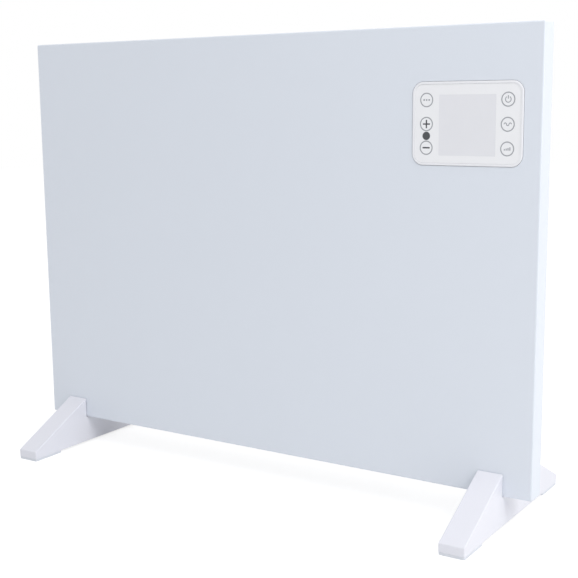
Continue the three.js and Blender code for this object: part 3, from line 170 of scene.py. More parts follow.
class HeaterFinishes(bpy.types.PropertyGroup):
    """Colours of the heater's materials."""

    panel: colour("Panel", "White powder coat of the front panel", "#E2E7EF")
    cover: colour("Cover", "White powder coat of the rear cover", "#E0E3EA")
    moulding: colour("Moulding", "White ABS of the feet", "#E8E8EF")
    ring: colour("Ring", "Brighter white ABS of the control ring", "#F2F2F5")
    pad: colour("Pads", "Pale rubber of the floor pads", "#DFE2E8")
    lens: colour("Lens", "Back-printed white of the touch lens", "#F4F4F6")
    window: colour("Window", "Unlit liquid crystal behind the lens", "#E9E9ED")
    mark: colour("Marks", "Grey of the printed key rings", "#9EA0A5")
    dark_mark: colour("Dark marks", "Dark grey of the printed signs", "#3B3C40")
    zinc: colour("Zinc", "Zinc-plated steel", "#B9BDC2")
    nylon: colour("Nylon", "Black glass-filled nylon", "#1E1F22")


class StudioSettings(bpy.types.PropertyGroup):
    """Lights, floor and camera."""

    ambient: bpy.props.FloatProperty(
        name="Ambient", description="Strength of the even light all round", default=0.66, min=0.0
    )
    key_power: power("Key light", "Power of the soft light on the right", 12.0)
    side_power: power("Side light", "Power of the light on the right that the front doesn't see", 3.2)
    rear_power: power("Rear light", "Power of the light behind", 5.0)
    fill_power: power("Fill light", "Power of the large light in front", 0.4)
    top_power: power("Top light", "Power of the large light overhead", 6.0)
    focal_length: bpy.props.FloatProperty(
        name="Focal length", description="The camera's lens", default=69.2, min=1.0, unit="CAMERA"
    )
    turn: angle("Turn", "The camera's turn round the heater, from straight in front", 32.996)
    tilt: angle("Tilt", "How far the camera looks down", 10.0)
    roll: angle("Roll", "The camera's turn about its own view", -0.542)
    place: bpy.props.FloatVectorProperty(
        name="Place",
        description="Where the camera stands",
        default=(0.6431, -0.9589, 0.3934),
        size=3,
        subtype="TRANSLATION",
        unit="LENGTH",
    )


# ---- materials


def add_node(tree, kind, inputs=None, **settings):
    """Adds a shader node with its settings. inputs maps a socket to a value or another node's output."""
    made = tree.nodes.new("ShaderNode" + kind)
    for name, value in settings.items():
        setattr(made, name, value)
    for socket, value in (inputs or {}).items():
        if isinstance(value, bpy.types.NodeSocket):
            tree.links.new(value, made.inputs[socket])
        else:
            made.inputs[socket].default_value = value
    return made


def emptied(made):
    """The node tree of a new material or world, with nothing in it."""
    made.use_nodes = True
    made.node_tree.nodes.clear()
    return made.node_tree


def per_metre(millimetres):
    """A texture's scale for a pattern that repeats about every so many millimetres."""
    return 1000.0 / millimetres


def tinted(rgb, share):
    """A colour made darker or lighter by a share, with full opacity."""
    return (*[min(1.0, c * share) for c in rgb], 1.0)


def surface(
    name,
    rgb,
    roughness,
    grain,
    relief,
    metallic=0.0,
    ior=1.5,
    stretch=(1, 1, 1),
    spread=0.08,
    tone=0.03,
    patch=60,
    coat=0.0,
):
    """A surface whose grain is given in millimetres. relief is the grain's height in millimetres.

    spread is how much the roughness varies, tone how much the colour does over patches of a size in
    millimetres, and stretch draws the grain out along an axis.
    """
    material = bpy.data.materials.new(name)
    tree = emptied(material)
    place = add_node(tree, "TexCoord").outputs["Object"]
    drawn = add_node(tree, "Mapping", {"Vector": place, "Scale": stretch}).outputs["Vector"]
    fine = add_node(
        tree, "TexNoise", {"Vector": drawn, "Scale": per_metre(grain), "Detail": 3.0, "Roughness": 0.55}
    ).outputs["Fac"]
    broad = add_node(
        tree, "TexNoise", {"Vector": place, "Scale": per_metre(patch), "Detail": 2.0}
    ).outputs["Fac"]
    ends = {"Factor": broad, "A": tinted(rgb, 1 - tone), "B": tinted(rgb, 1 + tone)}
    shade = add_node(tree, "Mix", ends, data_type="RGBA")
    low, high = max(0.02, roughness - spread), min(1.0, roughness + spread)
    gloss = add_node(tree, "MapRange", {"Value": fine, "To Min": low, "To Max": high})
    bump = add_node(tree, "Bump", {"Height": fine, "Distance": relief * MM, "Strength": 1.0})
    shader = add_node(
        tree,
        "BsdfPrincipled",
        {
            "Base Color": shade.outputs["Result"],
            "Metallic": metallic,
            "Roughness": gloss.outputs["Result"],
            "Normal": bump.outputs["Normal"],
            "IOR": ior,
            "Coat Weight": coat,
            "Coat Roughness": 0.08,
        },
    )
    add_node(tree, "OutputMaterial", {"Surface": shader.outputs["BSDF"]})
    return material


def zinc_crystals(name, rgb):
    """Large dull crystals, each with its own grey and gloss."""
    material = bpy.data.materials.new(name)
    tree = emptied(material)
    place = add_node(tree, "TexCoord").outputs["Object"]
    crystals = add_node(tree, "TexVoronoi", {"Vector": place, "Scale": per_metre(9)})
    grey = add_node(tree, "SeparateColor", {"Color": crystals.outputs["Color"]}).outputs["Red"]
    ends = {"Factor": grey, "A": tinted(rgb, 0.82), "B": tinted(rgb, 1.12)}
    shade = add_node(tree, "Mix", ends, data_type="RGBA")
    gloss = add_node(tree, "MapRange", {"Value": grey, "To Min": 0.34, "To Max": 0.5})
    dimples = add_node(tree, "TexNoise", {"Vector": place, "Scale": per_metre(1.2), "Detail": 2.0})
    bump = add_node(tree, "Bump", {"Height": dimples.outputs["Fac"], "Distance": 0.01 * MM})
    shader = add_node(
        tree,
        "BsdfPrincipled",
        {
            "Base Color": shade.outputs["Result"],
            "Metallic": 1.0,
            "Roughness": gloss.outputs["Result"],
            "Normal": bump.outputs["Normal"],
        },
    )
    add_node(tree, "OutputMaterial", {"Surface": shader.outputs["BSDF"]})
    return material


def solder_mask(name, rgb):
    """Copper tracks that show through the mask as slightly lighter lines."""
    material = bpy.data.materials.new(name)
    tree = emptied(material)
    place = add_node(tree, "TexCoord").outputs["Object"]
    grid = {"Vector": place, "Scale": per_metre(10)}
    grid.update({"Mortar Size": 0.06, "Brick Width": 0.9, "Row Height": 0.3})
    tracks = add_node(tree, "TexBrick", grid).outputs["Fac"]
    ends = {"Factor": tracks, "A": tinted(rgb, 1.0), "B": tinted(rgb, 1.7)}
    shade = add_node(tree, "Mix", ends, data_type="RGBA")
    bump = add_node(tree, "Bump", {"Height": tracks, "Distance": 0.035 * MM})
    shader = add_node(
        tree,
        "BsdfPrincipled",
        {
            "Base Color": shade.outputs["Result"],
            "Roughness": 0.32,
            "Normal": bump.outputs["Normal"],
            "IOR": 1.52,
        },
    )
    add_node(tree, "OutputMaterial", {"Surface": shader.outputs["BSDF"]})
    return material


# What each finish is made of: its colour, as one of the finishes' settings or a hex value, and its skin.
FINISHES = {
    # Powder coat: a soft gloss broken by a faint orange peel, drawn at 3.5 mm so that it shows.
    "powder_coat_panel": dict(
        rgb="panel", roughness=0.42, grain=3.5, relief=0.02, spread=0.04, tone=0.006, patch=180, coat=0.12
    ),
    # The same coat behind, a little duller and with more peel.
    "powder_coat_cover": dict(
        rgb="cover", roughness=0.5, grain=3.0, relief=0.025, spread=0.05, tone=0.01, patch=140
    ),
    # Spark-eroded ABS: a satin skin with a fine even grain.
    "moulded_abs_white": dict(
        rgb="moulding", roughness=0.38, grain=0.9, relief=0.008, ior=1.53, spread=0.05, tone=0.006
    ),
    # Polished ABS of the ring: tighter highlights than the feet.
    "polished_abs_ring": dict(
        rgb="ring", roughness=0.24, grain=1.2, relief=0.004, ior=1.53, spread=0.04, tone=0.004, patch=40
    ),
    # Cast acrylic printed white on its back: clear gloss over an even white.
    "acrylic_touch_lens": dict(
        rgb="lens", roughness=0.12, grain=12, relief=0.003, ior=1.49, spread=0.02, tone=0.004,
        patch=40, coat=0.4,
    ),
    # Unlit liquid crystal: a flat grey with the lens's gloss and hardly a cloud in it.
    "liquid_crystal_window": dict(
        rgb="window", roughness=0.12, grain=0.7, relief=0.0, ior=1.49, spread=0.01, tone=0.012,
        patch=18, coat=0.4,
    ),
    # Screen-printed ink: matt beside the lens, with a slightly uneven gloss.
    "screen_print_grey": dict(rgb="mark", roughness=0.5, grain=0.4, relief=0.002, patch=4),
    "screen_print_dark": dict(rgb="dark_mark", roughness=0.48, grain=0.4, relief=0.002, tone=0.06, patch=4),
    "screen_print_white": dict(rgb="#E9EAEC", roughness=0.5, grain=0.4, relief=0.002, tone=0.02, patch=4),
    # Smoked acrylic over the remote control's receiver: nearly black with a soft gloss.
    "smoked_acrylic_dot": dict(
        rgb="#4A4D51", roughness=0.2, grain=0.8, relief=0.001, ior=1.49, spread=0.03, patch=5
    ),
    # Thermoplastic rubber: dull, with a slightly dusty sheen.
    "moulded_rubber_pale": dict(
        rgb="pad", roughness=0.72, grain=0.7, relief=0.02, spread=0.1, tone=0.04, patch=12
    ),
    # Bright zinc plate: a soft metal gloss, clouded from the bath.
    "zinc_plated_steel": dict(
        rgb="zinc", roughness=0.32, grain=0.5, relief=0.004, metallic=1.0, spread=0.1, tone=0.08, patch=3
    ),
    # Hot-dip zinc on sheet steel: large dull crystals.
    "galvanised_sheet": dict(build=zinc_crystals, rgb="zinc"),
    # Extruded aluminium: die lines run along the element.
    "extruded_aluminium": dict(
        rgb="#C6C9CD", roughness=0.36, grain=0.35, relief=0.006, metallic=1.0, stretch=(0.02, 1, 1),
        spread=0.12, tone=0.05, patch=25,
    ),
    # Stainless tube, straw and blue where it has been hot.
    "heat_tinted_tube": dict(
        rgb="#9A9388", roughness=0.3, grain=0.4, relief=0.003, metallic=1.0, spread=0.1, tone=0.14, patch=30
    ),
    # Unglazed steatite: a chalky cream.
    "steatite_ceramic": dict(
        rgb="#E6E1D5", roughness=0.55, grain=0.5, relief=0.01, ior=1.55, spread=0.1, tone=0.05, patch=6
    ),
    # Glass-filled nylon: black with the fibres' faint mottle.
    "moulded_nylon_black": dict(
        rgb="nylon", roughness=0.46, grain=0.6, relief=0.01, ior=1.53, tone=0.12, patch=10
    ),
    # Moulded polycarbonate: light grey and even, with a satin gloss.
    "polycarbonate_grey": dict(
        rgb="#D9DBDE", roughness=0.42, grain=0.8, relief=0.006, ior=1.58, spread=0.06, patch=15
    ),
    # Extruded silicone rubber: a soft bloom that hides any gloss.
    "silicone_white": dict(
        rgb="#D9D8D3", roughness=0.55, grain=0.6, relief=0.008, ior=1.41, tone=0.05, patch=8
    ),
    "silicone_brown": dict(
        rgb="#6B3F2A", roughness=0.55, grain=0.6, relief=0.008, ior=1.41, tone=0.08, patch=8
    ),
    # Circuit board: green solder mask over copper tracks.
    "circuit_board_green": dict(build=solder_mask, rgb="#1F5A3C"),
}
MADE = {}


def finish(name):
    """The material of that name, made when it is first asked for."""
    if name not in MADE:
        recipe = dict(FINISHES[name])
        build = recipe.pop("build", surface)
        rgb = recipe.pop("rgb")
        chosen = linear(rgb) if rgb.startswith("#") else getattr(bpy.context.scene.heater_finishes, rgb)
        MADE[name] = build(name, chosen, **recipe)
    return MADE[name]


# ---- shaping

WELD_REACH = 0.002 * MM
NEARLY_FLAT = math.radians(1.0)


def facing(axis):
    """Turns what looks up so that it looks to the front, for Y, or leaves it, for Z."""
    return Matrix.Rotation(QUARTER_TURN, 4, "X") if axis == "Y" else Matrix.Identity(4)


def section(bm, middle, width, height, corner, axis="Y", segments=6):
    """A rounded rectangle as one face. axis is the way that it is pushed: Y is upright, Z lies flat."""
    known = set(bm.faces)
    place = Matrix.Translation(middle) @ facing(axis) @ Matrix.Diagonal((width, height, 1, 1))
    corners = bmesh.ops.create_grid(bm, x_segments=1, y_segments=1, size=0.5, matrix=place)["verts"]
    if corner > 0:
        bmesh.ops.bevel(
            bm,
            geom=corners,
            offset=corner,
            offset_type="OFFSET",
            segments=segments,
            profile=0.5,
            affect="VERTICES",
            material=-1,
        )
    return next(face for face in bm.faces if face not in known)


def loft(bm, faces, closed=False):
    """Bridges the outlines of faces in order. An open loft keeps its first and last face as caps.

    Two outlines that follow each other never lie in one plane: a moulding's draft keeps them apart.
    """
    outlines = [list(face.edges) for face in faces]
    following = outlines[1:] + (outlines[:1] if closed else [])
    for near, far in zip(outlines, following):
        bmesh.ops.bridge_loops(bm, edges=near + far)
    spare = faces if closed else faces[1:-1]
    bmesh.ops.delete(bm, geom=spare, context="FACES_ONLY")


def stack(bm, rows, middle, size, corner, axis="Y", segments=6, closed=False, least=0.0, share=1.0):
    """Lofts one rounded rectangle through (inset, level) rows along an axis.

    middle is its X and Z for Y, or its X and Y for Z. Each inset draws the sides in, and a share of it
    the corners, but no corner gets smaller than the least.
    """
    faces = []
    for inset, level in rows:
        place = (middle[0], level, middle[1]) if axis == "Y" else (middle[0], middle[1], level)
        width, height = (side - 2 * inset for side in size)
        rounding = max(corner - share * inset, least)
        faces.append(section(bm, place, width, height, rounding, axis, segments))
    loft(bm, faces, closed)


def rounded_rims(radius, steps=4):
    """(inset, drop) pairs down a quarter round, from the face to the side."""
    turns = [QUARTER_TURN * i / steps for i in range(steps + 1)]
    return [(radius * (1 - math.sin(t)), radius * (1 - math.cos(t))) for t in turns]


def soften(bm, edges, radius, segments):
    bmesh.ops.bevel(
        bm,
        geom=edges,
        offset=radius,
        offset_type="OFFSET",
        segments=segments,
        profile=0.5,
        affect="EDGES",
        clamp_overlap=True,
        material=-1,
    )


def block(bm, low, high, edge=0.0):
    """A box between two corners, its edges rounded if a radius is given. Returns its corners."""
    low, high = Vector(low), Vector(high)
    place = Matrix.Translation((low + high) / 2) @ Matrix.Diagonal((*(high - low), 1))
    corners = bmesh.ops.create_cube(bm, size=1.0, matrix=place)["verts"]
    if edge > 0:
        soften(bm, list({e for v in corners for e in v.link_edges}), edge, 2)
    return corners


def turned(bm, profile, place, steps=32):
    """A profile of (radius, height) pairs, turned round the Z axis of a placing matrix."""
    verts = [bm.verts.new((radius, 0, height)) for radius, height in profile]
    edges = [bm.edges.new(pair) for pair in zip(verts, verts[1:])]
    if profile[0][0] > 0 or profile[-1][0] > 0:
        edges.append(bm.edges.new((verts[-1], verts[0])))
    known = set(bm.verts)
    bmesh.ops.spin(
        bm,
        geom=verts + edges,
        cent=(0, 0, 0),
        axis=(0, 0, 1),
        dvec=(0, 0, 0),
        angle=2 * math.pi,
        steps=steps,
        use_merge=True,
        use_duplicate=False,
    )
    made = [v for v in bm.verts if v not in known] + [v for v in verts if v.is_valid]
    bmesh.ops.remove_doubles(bm, verts=made, dist=SAME_PLACE)
    made = [v for v in made if v.is_valid]
    bmesh.ops.transform(bm, matrix=place, verts=made)


def drum(bm, middle, radius, half=THROUGH, axis="Y"):
    """A plain round cutter along an axis."""
    place = Matrix.Translation(middle) @ facing(axis)
    bmesh.ops.create_cone(
        bm, cap_ends=True, segments=32, radius1=radius, radius2=radius, depth=2 * half, matrix=place
    )


def as_object(bm, name):
    mesh = bpy.data.meshes.new(name)
    bm.to_mesh(mesh)
    bm.free()
    made = bpy.data.objects.new(name, mesh)
    bpy.context.scene.collection.objects.link(made)
    return made


def through_modifier(bm, kind, cutter=None, **settings):
    """Runs a mesh through one modifier and returns the result."""
    holder = as_object(bm, "held")
    modifier = holder.modifiers.new(kind, kind)
    for name, value in settings.items():
        setattr(modifier, name, value)
    held = [holder]
    if cutter is not None:
        tool = as_object(cutter, "tool")
        modifier.object = tool
        held.append(tool)
    bpy.context.view_layer.update()
    shaped = holder.evaluated_get(bpy.context.evaluated_depsgraph_get())
    result = bmesh.new()
    result.from_mesh(shaped.to_mesh())
    shaped.to_mesh_clear()
    for used in held:
        mesh = used.data
        bpy.data.objects.remove(used)
        bpy.data.meshes.remove(mesh)
    return result


def carved(bm, cutter, operation="DIFFERENCE"):
    """Cuts one closed mesh out of another, or joins it to it."""
    for part in (bm, cutter):
        bmesh.ops.recalc_face_normals(part, faces=part.faces)
    return through_modifier(bm, "BOOLEAN", cutter, operation=operation, solver="EXACT", use_self=True)


def thickened(bm, wall):
    """Gives an open sheet its wall, inwards."""
    return through_modifier(
        bm, "SOLIDIFY", thickness=wall, offset=-1.0, use_even_offset=True, use_quality_normals=True
    )


def piece(name, bm, material, body="heater", replaced=()):
    """Finishes a closed mesh as a named piece that rides on a body."""
    bmesh.ops.remove_doubles(bm, verts=bm.verts, dist=SAME_PLACE)
    bmesh.ops.recalc_face_normals(bm, faces=bm.faces)
    made = as_object(bm, name)
    made.data.shade_smooth()
    made.data.set_sharp_from_angle(angle=CREASE)
    made.data.materials.append(finish(material))
    even = made.modifiers.new("even_shading", "WEIGHTED_NORMAL")
    even.keep_sharp = True
    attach(made, body)
    if replaced:
        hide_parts(*replaced)


def dress(node, material, edge=0.0, segments=2, sharp=CREASE):
    """Gives a CAD node a finish, and rounds its sharp edges by modifiers alone."""
    kept = frame["nodes"][node]
    kept.data.materials.clear()
    kept.data.materials.append(finish(material))
    kept.data.shade_smooth()
    weld = kept.modifiers.new("weld", "WELD")
    weld.merge_threshold = WELD_REACH
    if edge > 0:
        flatten = kept.modifiers.new("flatten", "DECIMATE")
        flatten.decimate_type = "DISSOLVE"
        flatten.angle_limit = NEARLY_FLAT
        bevel = kept.modifiers.new("rounding", "BEVEL")
        bevel.width = edge
        bevel.segments = segments
        bevel.limit_method = "ANGLE"
        bevel.angle_limit = sharp
        bevel.harden_normals = True
    else:
        split = kept.modifiers.new("creases", "EDGE_SPLIT")
        split.split_angle = sharp


# ---- front panel


def screw_places():
    """The middles of the cover screws, from the CAD nodes."""
    return {name: span(name)[2] for name in frame["nodes"] if name.startswith("cover_screw_")}


def screw_holes(bm, face, end, seat):
    """Cutters for the cover screws through a face, and for one end's foot screws through a seat."""
    for screw in screw_places().values():
        drum(bm, (screw.x, face, screw.z), COVER_SCREW_HOLE)
    for side in SIDES:
        screw = span(f"foot_screw_{side}_{end}")[2]
        drum(bm, (screw.x, screw.y, seat), FOOT_SCREW_HOLE, axis="Z")


class HEATER_OT_front_panel(bpy.types.Operator):
    """Fold the front panel: a flat face, four returns and a lip behind each return"""

    bl_idname = "heater.front_panel"
    bl_label = "Front panel"

    def execute(self, context):
        sizes = context.scene.heater_sizes
        bm = bmesh.new()
        block(bm, PANEL_LOW, PANEL_HIGH)
        back = max(bm.faces, key=lambda f: f.calc_center_median().y)
        bmesh.ops.inset_individual(
            bm, faces=[back], thickness=sizes.panel_lip + sizes.panel_sheet, use_even_offset=True
        )
        bmesh.ops.delete(bm, geom=[back], context="FACES_ONLY")
        folds = [e for e in bm.edges if len(e.link_faces) == 2 and e.calc_face_angle(0) > 1]
        soften(bm, folds, sizes.panel_fold, 4)
        bm = carved(thickened(bm, sizes.panel_sheet), self.openings())
        piece("front_panel_sheet", bm, "powder_coat_panel", replaced=["front_panel"])
        return {"FINISHED"}

    def openings(self):
        holes = bmesh.new()
        rows = [(-MODULE_GAP, PANEL_LOW.y + reach) for reach in (-THROUGH, THROUGH)]
        middle = (BEZEL_MIDDLE.x, BEZEL_MIDDLE.z)
        stack(holes, rows, middle, MODULE_SIZE, MODULE_CORNER, segments=12)
        screw_holes(holes, PANEL_HIGH.y, "front", PANEL_LOW.z)
        return holes


# ---- rear cover

RIM_CORNER = 3 * MM
SMALLEST_CORNER = 0.4 * MM
# How far the cutter that hollows the tray starts in front of it.
HOLLOW_REACH = 20 * MM

# The beads: how far each lies from the tray's side, floor and top, and the slope of its sides.
BEAD_END = 22 * MM
LOW_BEAD = 74 * MM
HIGH_BEAD = 106 * MM
BEAD_ROOM = 0.8 * MM
BEAD_FLARE = 1.0 * MM
BEAD_LIP = 0.2 * MM
BEAD_SLOPE = 1.4 * MM
# What keeps the two rounds at a bead's end from meeting in one point.
BEAD_END_FLAT = 0.01 * MM

# The keyholes: places from the middle and from the tray's top, and the head's and the slot's sizes.
KEYHOLE_SPREAD = 180 * MM
KEYHOLE_DROP = 52 * MM
KEYHOLE_RADIUS = 5.5 * MM
KEYHOLE_SLOT = (5.5 * MM, 14 * MM)

# How far a grille's frame and the switch's flange lap over the edges of their openings.
GRILLE_LAP = 2.7 * MM
SWITCH_LAP = (1.7 * MM, 2.2 * MM)
GLAND_HOLE = 7.5 * MM


def tray_corners(sizes):
    """The lowest and highest corners of the rear cover's tray, without its rim."""
    side = sizes.cover_side_inset
    low = Vector((PANEL_LOW.x + side, COVER_LOW.y, PANEL_LOW.z + sizes.cover_bottom_inset))
    high = Vector((PANEL_HIGH.x - side, COVER_HIGH.y, PANEL_HIGH.z - sizes.cover_top_inset))
    return low, high


class HEATER_OT_rear_cover(bpy.types.Operator):
    """Draw the rear cover: a tray with a rim, two beads, two keyholes and its openings"""

    bl_idname = "heater.rear_cover"
    bl_label = "Rear cover"

    def execute(self, context):
        sizes = context.scene.heater_sizes
        front, sheet = COVER_LOW.y, sizes.cover_sheet
        tray = self.solid(sizes, front, 0.0)
        hollow = self.solid(sizes, front - HOLLOW_REACH, sheet)
        rim = bmesh.new()
        size = (COVER_HIGH.x - COVER_LOW.x, COVER_HIGH.z - COVER_LOW.z)
        stack(rim, [(0.0, front), (0.0, front + sheet)], (0, COVER_MIDDLE.z), size, RIM_CORNER)
        bm = carved(carved(tray, rim, "UNION"), hollow)
        bm = carved(bm, self.openings(sizes))
        piece("rear_cover_pressing", bm, "powder_coat_cover", replaced=["rear_cover"])
        return {"FINISHED"}

    def solid(self, sizes, front, inset):
        """The tray with its beads as a solid, drawn in by an inset and rounded round the back."""
        bm = bmesh.new()
        low, high = tray_corners(sizes)
        back = COVER_HIGH.y - inset
        size = (high.x - low.x - 2 * inset, high.z - low.z - 2 * inset)
        rims = reversed(rounded_rims(sizes.cover_edge - inset, 6))
        rows = [(0.0, front), *((draw, back - drop) for draw, drop in rims)]
        corner = sizes.cover_corner - inset
        stack(bm, rows, (0, (low.z + high.z) / 2), size, corner, segments=10, least=SMALLEST_CORNER)
        return carved(bm, self.grooves(sizes, back, inset))

    def grooves(self, sizes, back, margin):
        """Pressed grooves with sloping sides across the back."""
        bm = bmesh.new()
        low, high = tray_corners(sizes)
        size = (high.x - low.x - 2 * BEAD_END + 2 * margin, sizes.bead_width + 2 * margin)
        rows = [(-BEAD_FLARE, back + BEAD_ROOM), (-BEAD_LIP, back), (BEAD_SLOPE, back - sizes.bead_depth)]
        for z in (low.z + LOW_BEAD, high.z - HIGH_BEAD):
            stack(bm, rows, (0, z), size, size[1] / 2 - BEAD_END_FLAT, segments=10)
        return bm

    def openings(self, sizes):
        holes = bmesh.new()
        tray_low, tray_high = tray_corners(sizes)
        head_z = tray_high.z - KEYHOLE_DROP
        rows = [(0.0, COVER_HIGH.y - THROUGH), (0.0, COVER_HIGH.y + THROUGH)]
        for x in (-KEYHOLE_SPREAD, KEYHOLE_SPREAD):
            drum(holes, (x, COVER_HIGH.y, head_z), KEYHOLE_RADIUS)
            stack(holes, rows, (x, head_z + KEYHOLE_SLOT[1] / 2), KEYHOLE_SLOT, 0)
        lap = Vector((GRILLE_LAP, GRILLE_LAP))
        for grille, wall in (("air_outlet_grille", tray_high.z), ("air_inlet_grille", tray_low.z)):
            low, high, _ = span(grille)
            block(holes, (*(low.xy + lap), wall - THROUGH), (*(high.xy - lap), wall + THROUGH))
        low, high, _ = span("rocker_switch_body")
        lap = Vector(SWITCH_LAP)
        block(
            holes, (tray_high.x - THROUGH, *(low.yz + lap)), (tray_high.x + THROUGH, *(high.yz - lap))
        )
        gland = span("cord_gland")[2]
        drum(holes, (gland.x, gland.y, tray_low.z), GLAND_HOLE, axis="Z")
        screw_holes(holes, COVER_LOW.y, "rear", tray_low.z)
        return holes


# ---- screws

# A head's crown as shares of its radius and its height, and the recess as shares of the same two.
CROWN = ((0.0, 1.0), (0.55, 0.98), (0.8, 0.86), (0.95, 0.6), (1.0, 0.3), (1.0, 0.0))
RECESS_REACH = 0.62
RECESS_LINE = 0.13
RECESS_FLOOR = 0.35
RECESS_TAPER = (0.45, 0.8, 1.0)
# A screw's point, as shares of the shank's length and radius.
POINT_START = 0.85
POINT_RADIUS = 0.35


class HEATER_OT_screws(bpy.types.Operator):
    """Turn the cover screws and the foot screws, with a cross recess in each head"""

    bl_idname = "heater.screws"
    bl_label = "Screws"

    def execute(self, context):
        for name in screw_places():
            low, high, middle = span(name)
            place = Matrix.Translation((middle.x, high.y - COVER_SCREW_HEAD, middle.z)) @ facing("Y")
            size = ((high.x - low.x) / 2, COVER_SCREW_HEAD, COVER_SCREW_SHANK, COVER_SCREW_LENGTH)
            self.pan_head(name, place, *size)
        for side in SIDES:
            for end in ENDS:
                name = f"foot_screw_{side}_{end}"
                low, high, middle = span(name)
                seat = low.z + FOOT_SCREW_HEAD
                place = Matrix.Translation((middle.x, middle.y, seat))
                size = ((high.x - low.x) / 2, FOOT_SCREW_HEAD, FOOT_SCREW_SHANK, high.z - seat)
                self.pan_head(name, place, *size)
        return {"FINISHED"}

    def pan_head(self, name, place, head, height, shank, reach):
        """A screw along +Z, with its seat at zero, its head below and a cross recess."""
        profile = [(head * across, -height * up) for across, up in CROWN]
        profile += [(shank, 0.0), (shank, reach * POINT_START), (shank * POINT_RADIUS, reach)]
        profile.append((0.0, reach))
        bm = bmesh.new()
        turned(bm, profile, Matrix.Identity(4))
        recess = bmesh.new()
        for turn in (0.0, QUARTER_TURN):
            long, wide = head * RECESS_REACH, head * RECESS_LINE
            bar = block(recess, (-long, -wide, -height - FIT), (long, wide, -height * RECESS_FLOOR))
            deep = [v for v in bar if v.co.z > -height]
            bmesh.ops.scale(recess, vec=RECESS_TAPER, verts=deep)
            bmesh.ops.rotate(recess, matrix=Matrix.Rotation(turn, 3, "Z"), verts=bar)
        bm = carved(bm, recess)
        bmesh.ops.transform(bm, matrix=place, verts=bm.verts)
        piece(name + "_pan_head", bm, "zinc_plated_steel", replaced=[name])


# ---- grilles

GRILLE_FLANGE = 3 * MM
GRILLE_FLANGE_DEPTH = 1.5 * MM
GRILLE_WALL = 1.5 * MM
GRILLE_CORNER = 2 * MM
GRILLE_ROUND = 0.5 * MM
GRILLE_CHAMFER = 0.4 * MM
GRILLE_BLADE = 1.2 * MM
GRILLE_PITCH = 5.4 * MM
GRILLE_RIB_PITCH = 74 * MM
BLADE_DROP = 0.5 * MM
RIB_DROP = 0.6 * MM
OUTLET_LEAN = math.radians(35.0)


class HEATER_OT_grilles(bpy.types.Operator):
    """Mould the air outlet and air inlet grilles: a flanged frame, blades and cross ribs"""

    bl_idname = "heater.grilles"
    bl_label = "Grilles"

    def execute(self, context):
        self.make("air_outlet_grille", 1, OUTLET_LEAN)
        self.make("air_inlet_grille", -1, 0.0)
        return {"FINISHED"}

    def make(self, node, out, lean):
        """out is the way that the grille looks: 1 is up and -1 down. Its blades lean by an angle."""
        low, high, middle = span(node)
        face, tail = (high.z, low.z) if out > 0 else (low.z, high.z)
        bm = self.surround(low, high, middle, face, tail, out)
        z0, z1 = sorted((face - out * BLADE_DROP, tail + out * BLADE_DROP))
        inner = high - low - Vector((1, 1, 0)) * 2 * (GRILLE_FLANGE + GRILLE_WALL)
        bars = bmesh.new()
        self.blades(bars, middle, inner, z0, z1, lean)
        long = high.x - low.x - 2 * GRILLE_FLANGE
        ribs = max(1, round(long / GRILLE_RIB_PITCH) - 1)
        half = Vector((GRILLE_WALL / 2, inner.y / 2 + FIT))
        for i in range(ribs):
            place = middle.xy + Vector(((i - (ribs - 1) / 2) * long / (ribs + 1), 0))
            block(bars, (*(place - half), z0 + RIB_DROP), (*(place + half), z1 - RIB_DROP))
        bm = carved(bm, bars, "UNION")
        piece(node + "_moulding", bm, "polycarbonate_grey", replaced=[node])

    def surround(self, low, high, middle, face, tail, out):
        bm = bmesh.new()
        draft = out * DRAFT
        seat = face - out * GRILLE_FLANGE_DEPTH
        inside = GRILLE_FLANGE + GRILLE_WALL
        around = [
            (0.0, seat),
            (0.0, face - out * GRILLE_ROUND),
            (0.3 * GRILLE_ROUND, face - out * 0.3 * GRILLE_ROUND),
            (GRILLE_ROUND, face - draft),
            (inside - GRILLE_CHAMFER, face),
            (inside, face - out * GRILLE_CHAMFER),
            (inside, tail),
            (GRILLE_FLANGE, tail + draft),
            (GRILLE_FLANGE, seat + draft),
        ]
        size = (high - low).xy
        stack(bm, around, middle, size, GRILLE_CORNER, "Z", 4, closed=True, least=FIT, share=0.4)
        return bm

    def blades(self, bm, middle, inner, z0, z1, lean):
        shift = (z1 - z0) * math.tan(lean)
        count = round((inner.y + shift) / GRILLE_PITCH) - 1
        keep = inner.y / 2 + FIT
        half = inner.x / 2 + FIT
        for i in range(count):
            y = middle.y + (i - (count - 1) / 2) * GRILLE_PITCH
            low = (middle.x - half, y - GRILLE_BLADE / 2, z0)
            for corner in block(bm, low, (middle.x + half, y + GRILLE_BLADE / 2, z1)):
                corner.co.y -= (corner.co.z - (z0 + z1) / 2) / (z1 - z0) * shift
                corner.co.y = min(max(corner.co.y, middle.y - keep), middle.y + keep)


# ---- feet

# A foot's upright faces beside the body, and its seat below the front panel.
FOOT_NOTCH = COVER_HIGH.y + FIT
FOOT_LOW_SEAT = PANEL_LOW.z - FIT
# The ribs inside a foot, along its length, and how far they stay above its lower edge.
RIB_PLACES = (-76 * MM, -32.5 * MM, 32.5 * MM, 76 * MM)
RIB_LIFT = 0.4 * MM
# A pad's sole with its grooves, and the rounding of its plug's edges.
PAD_CORNER = 2 * MM
SOLE_ROUND = 0.4 * MM
PAD_GROOVES = 4
GROOVE_WIDTH = 1.6 * MM
GROOVE_DEPTH = 0.7 * MM
PLUG_EDGE = 0.4 * MM


def foot_step(sizes):
    """Where a foot's saddle steps up behind the front panel, and the height of its upper seat."""
    return COVER_LOW.y + sizes.cover_sheet + 2 * FIT, tray_corners(sizes)[0].z - FIT


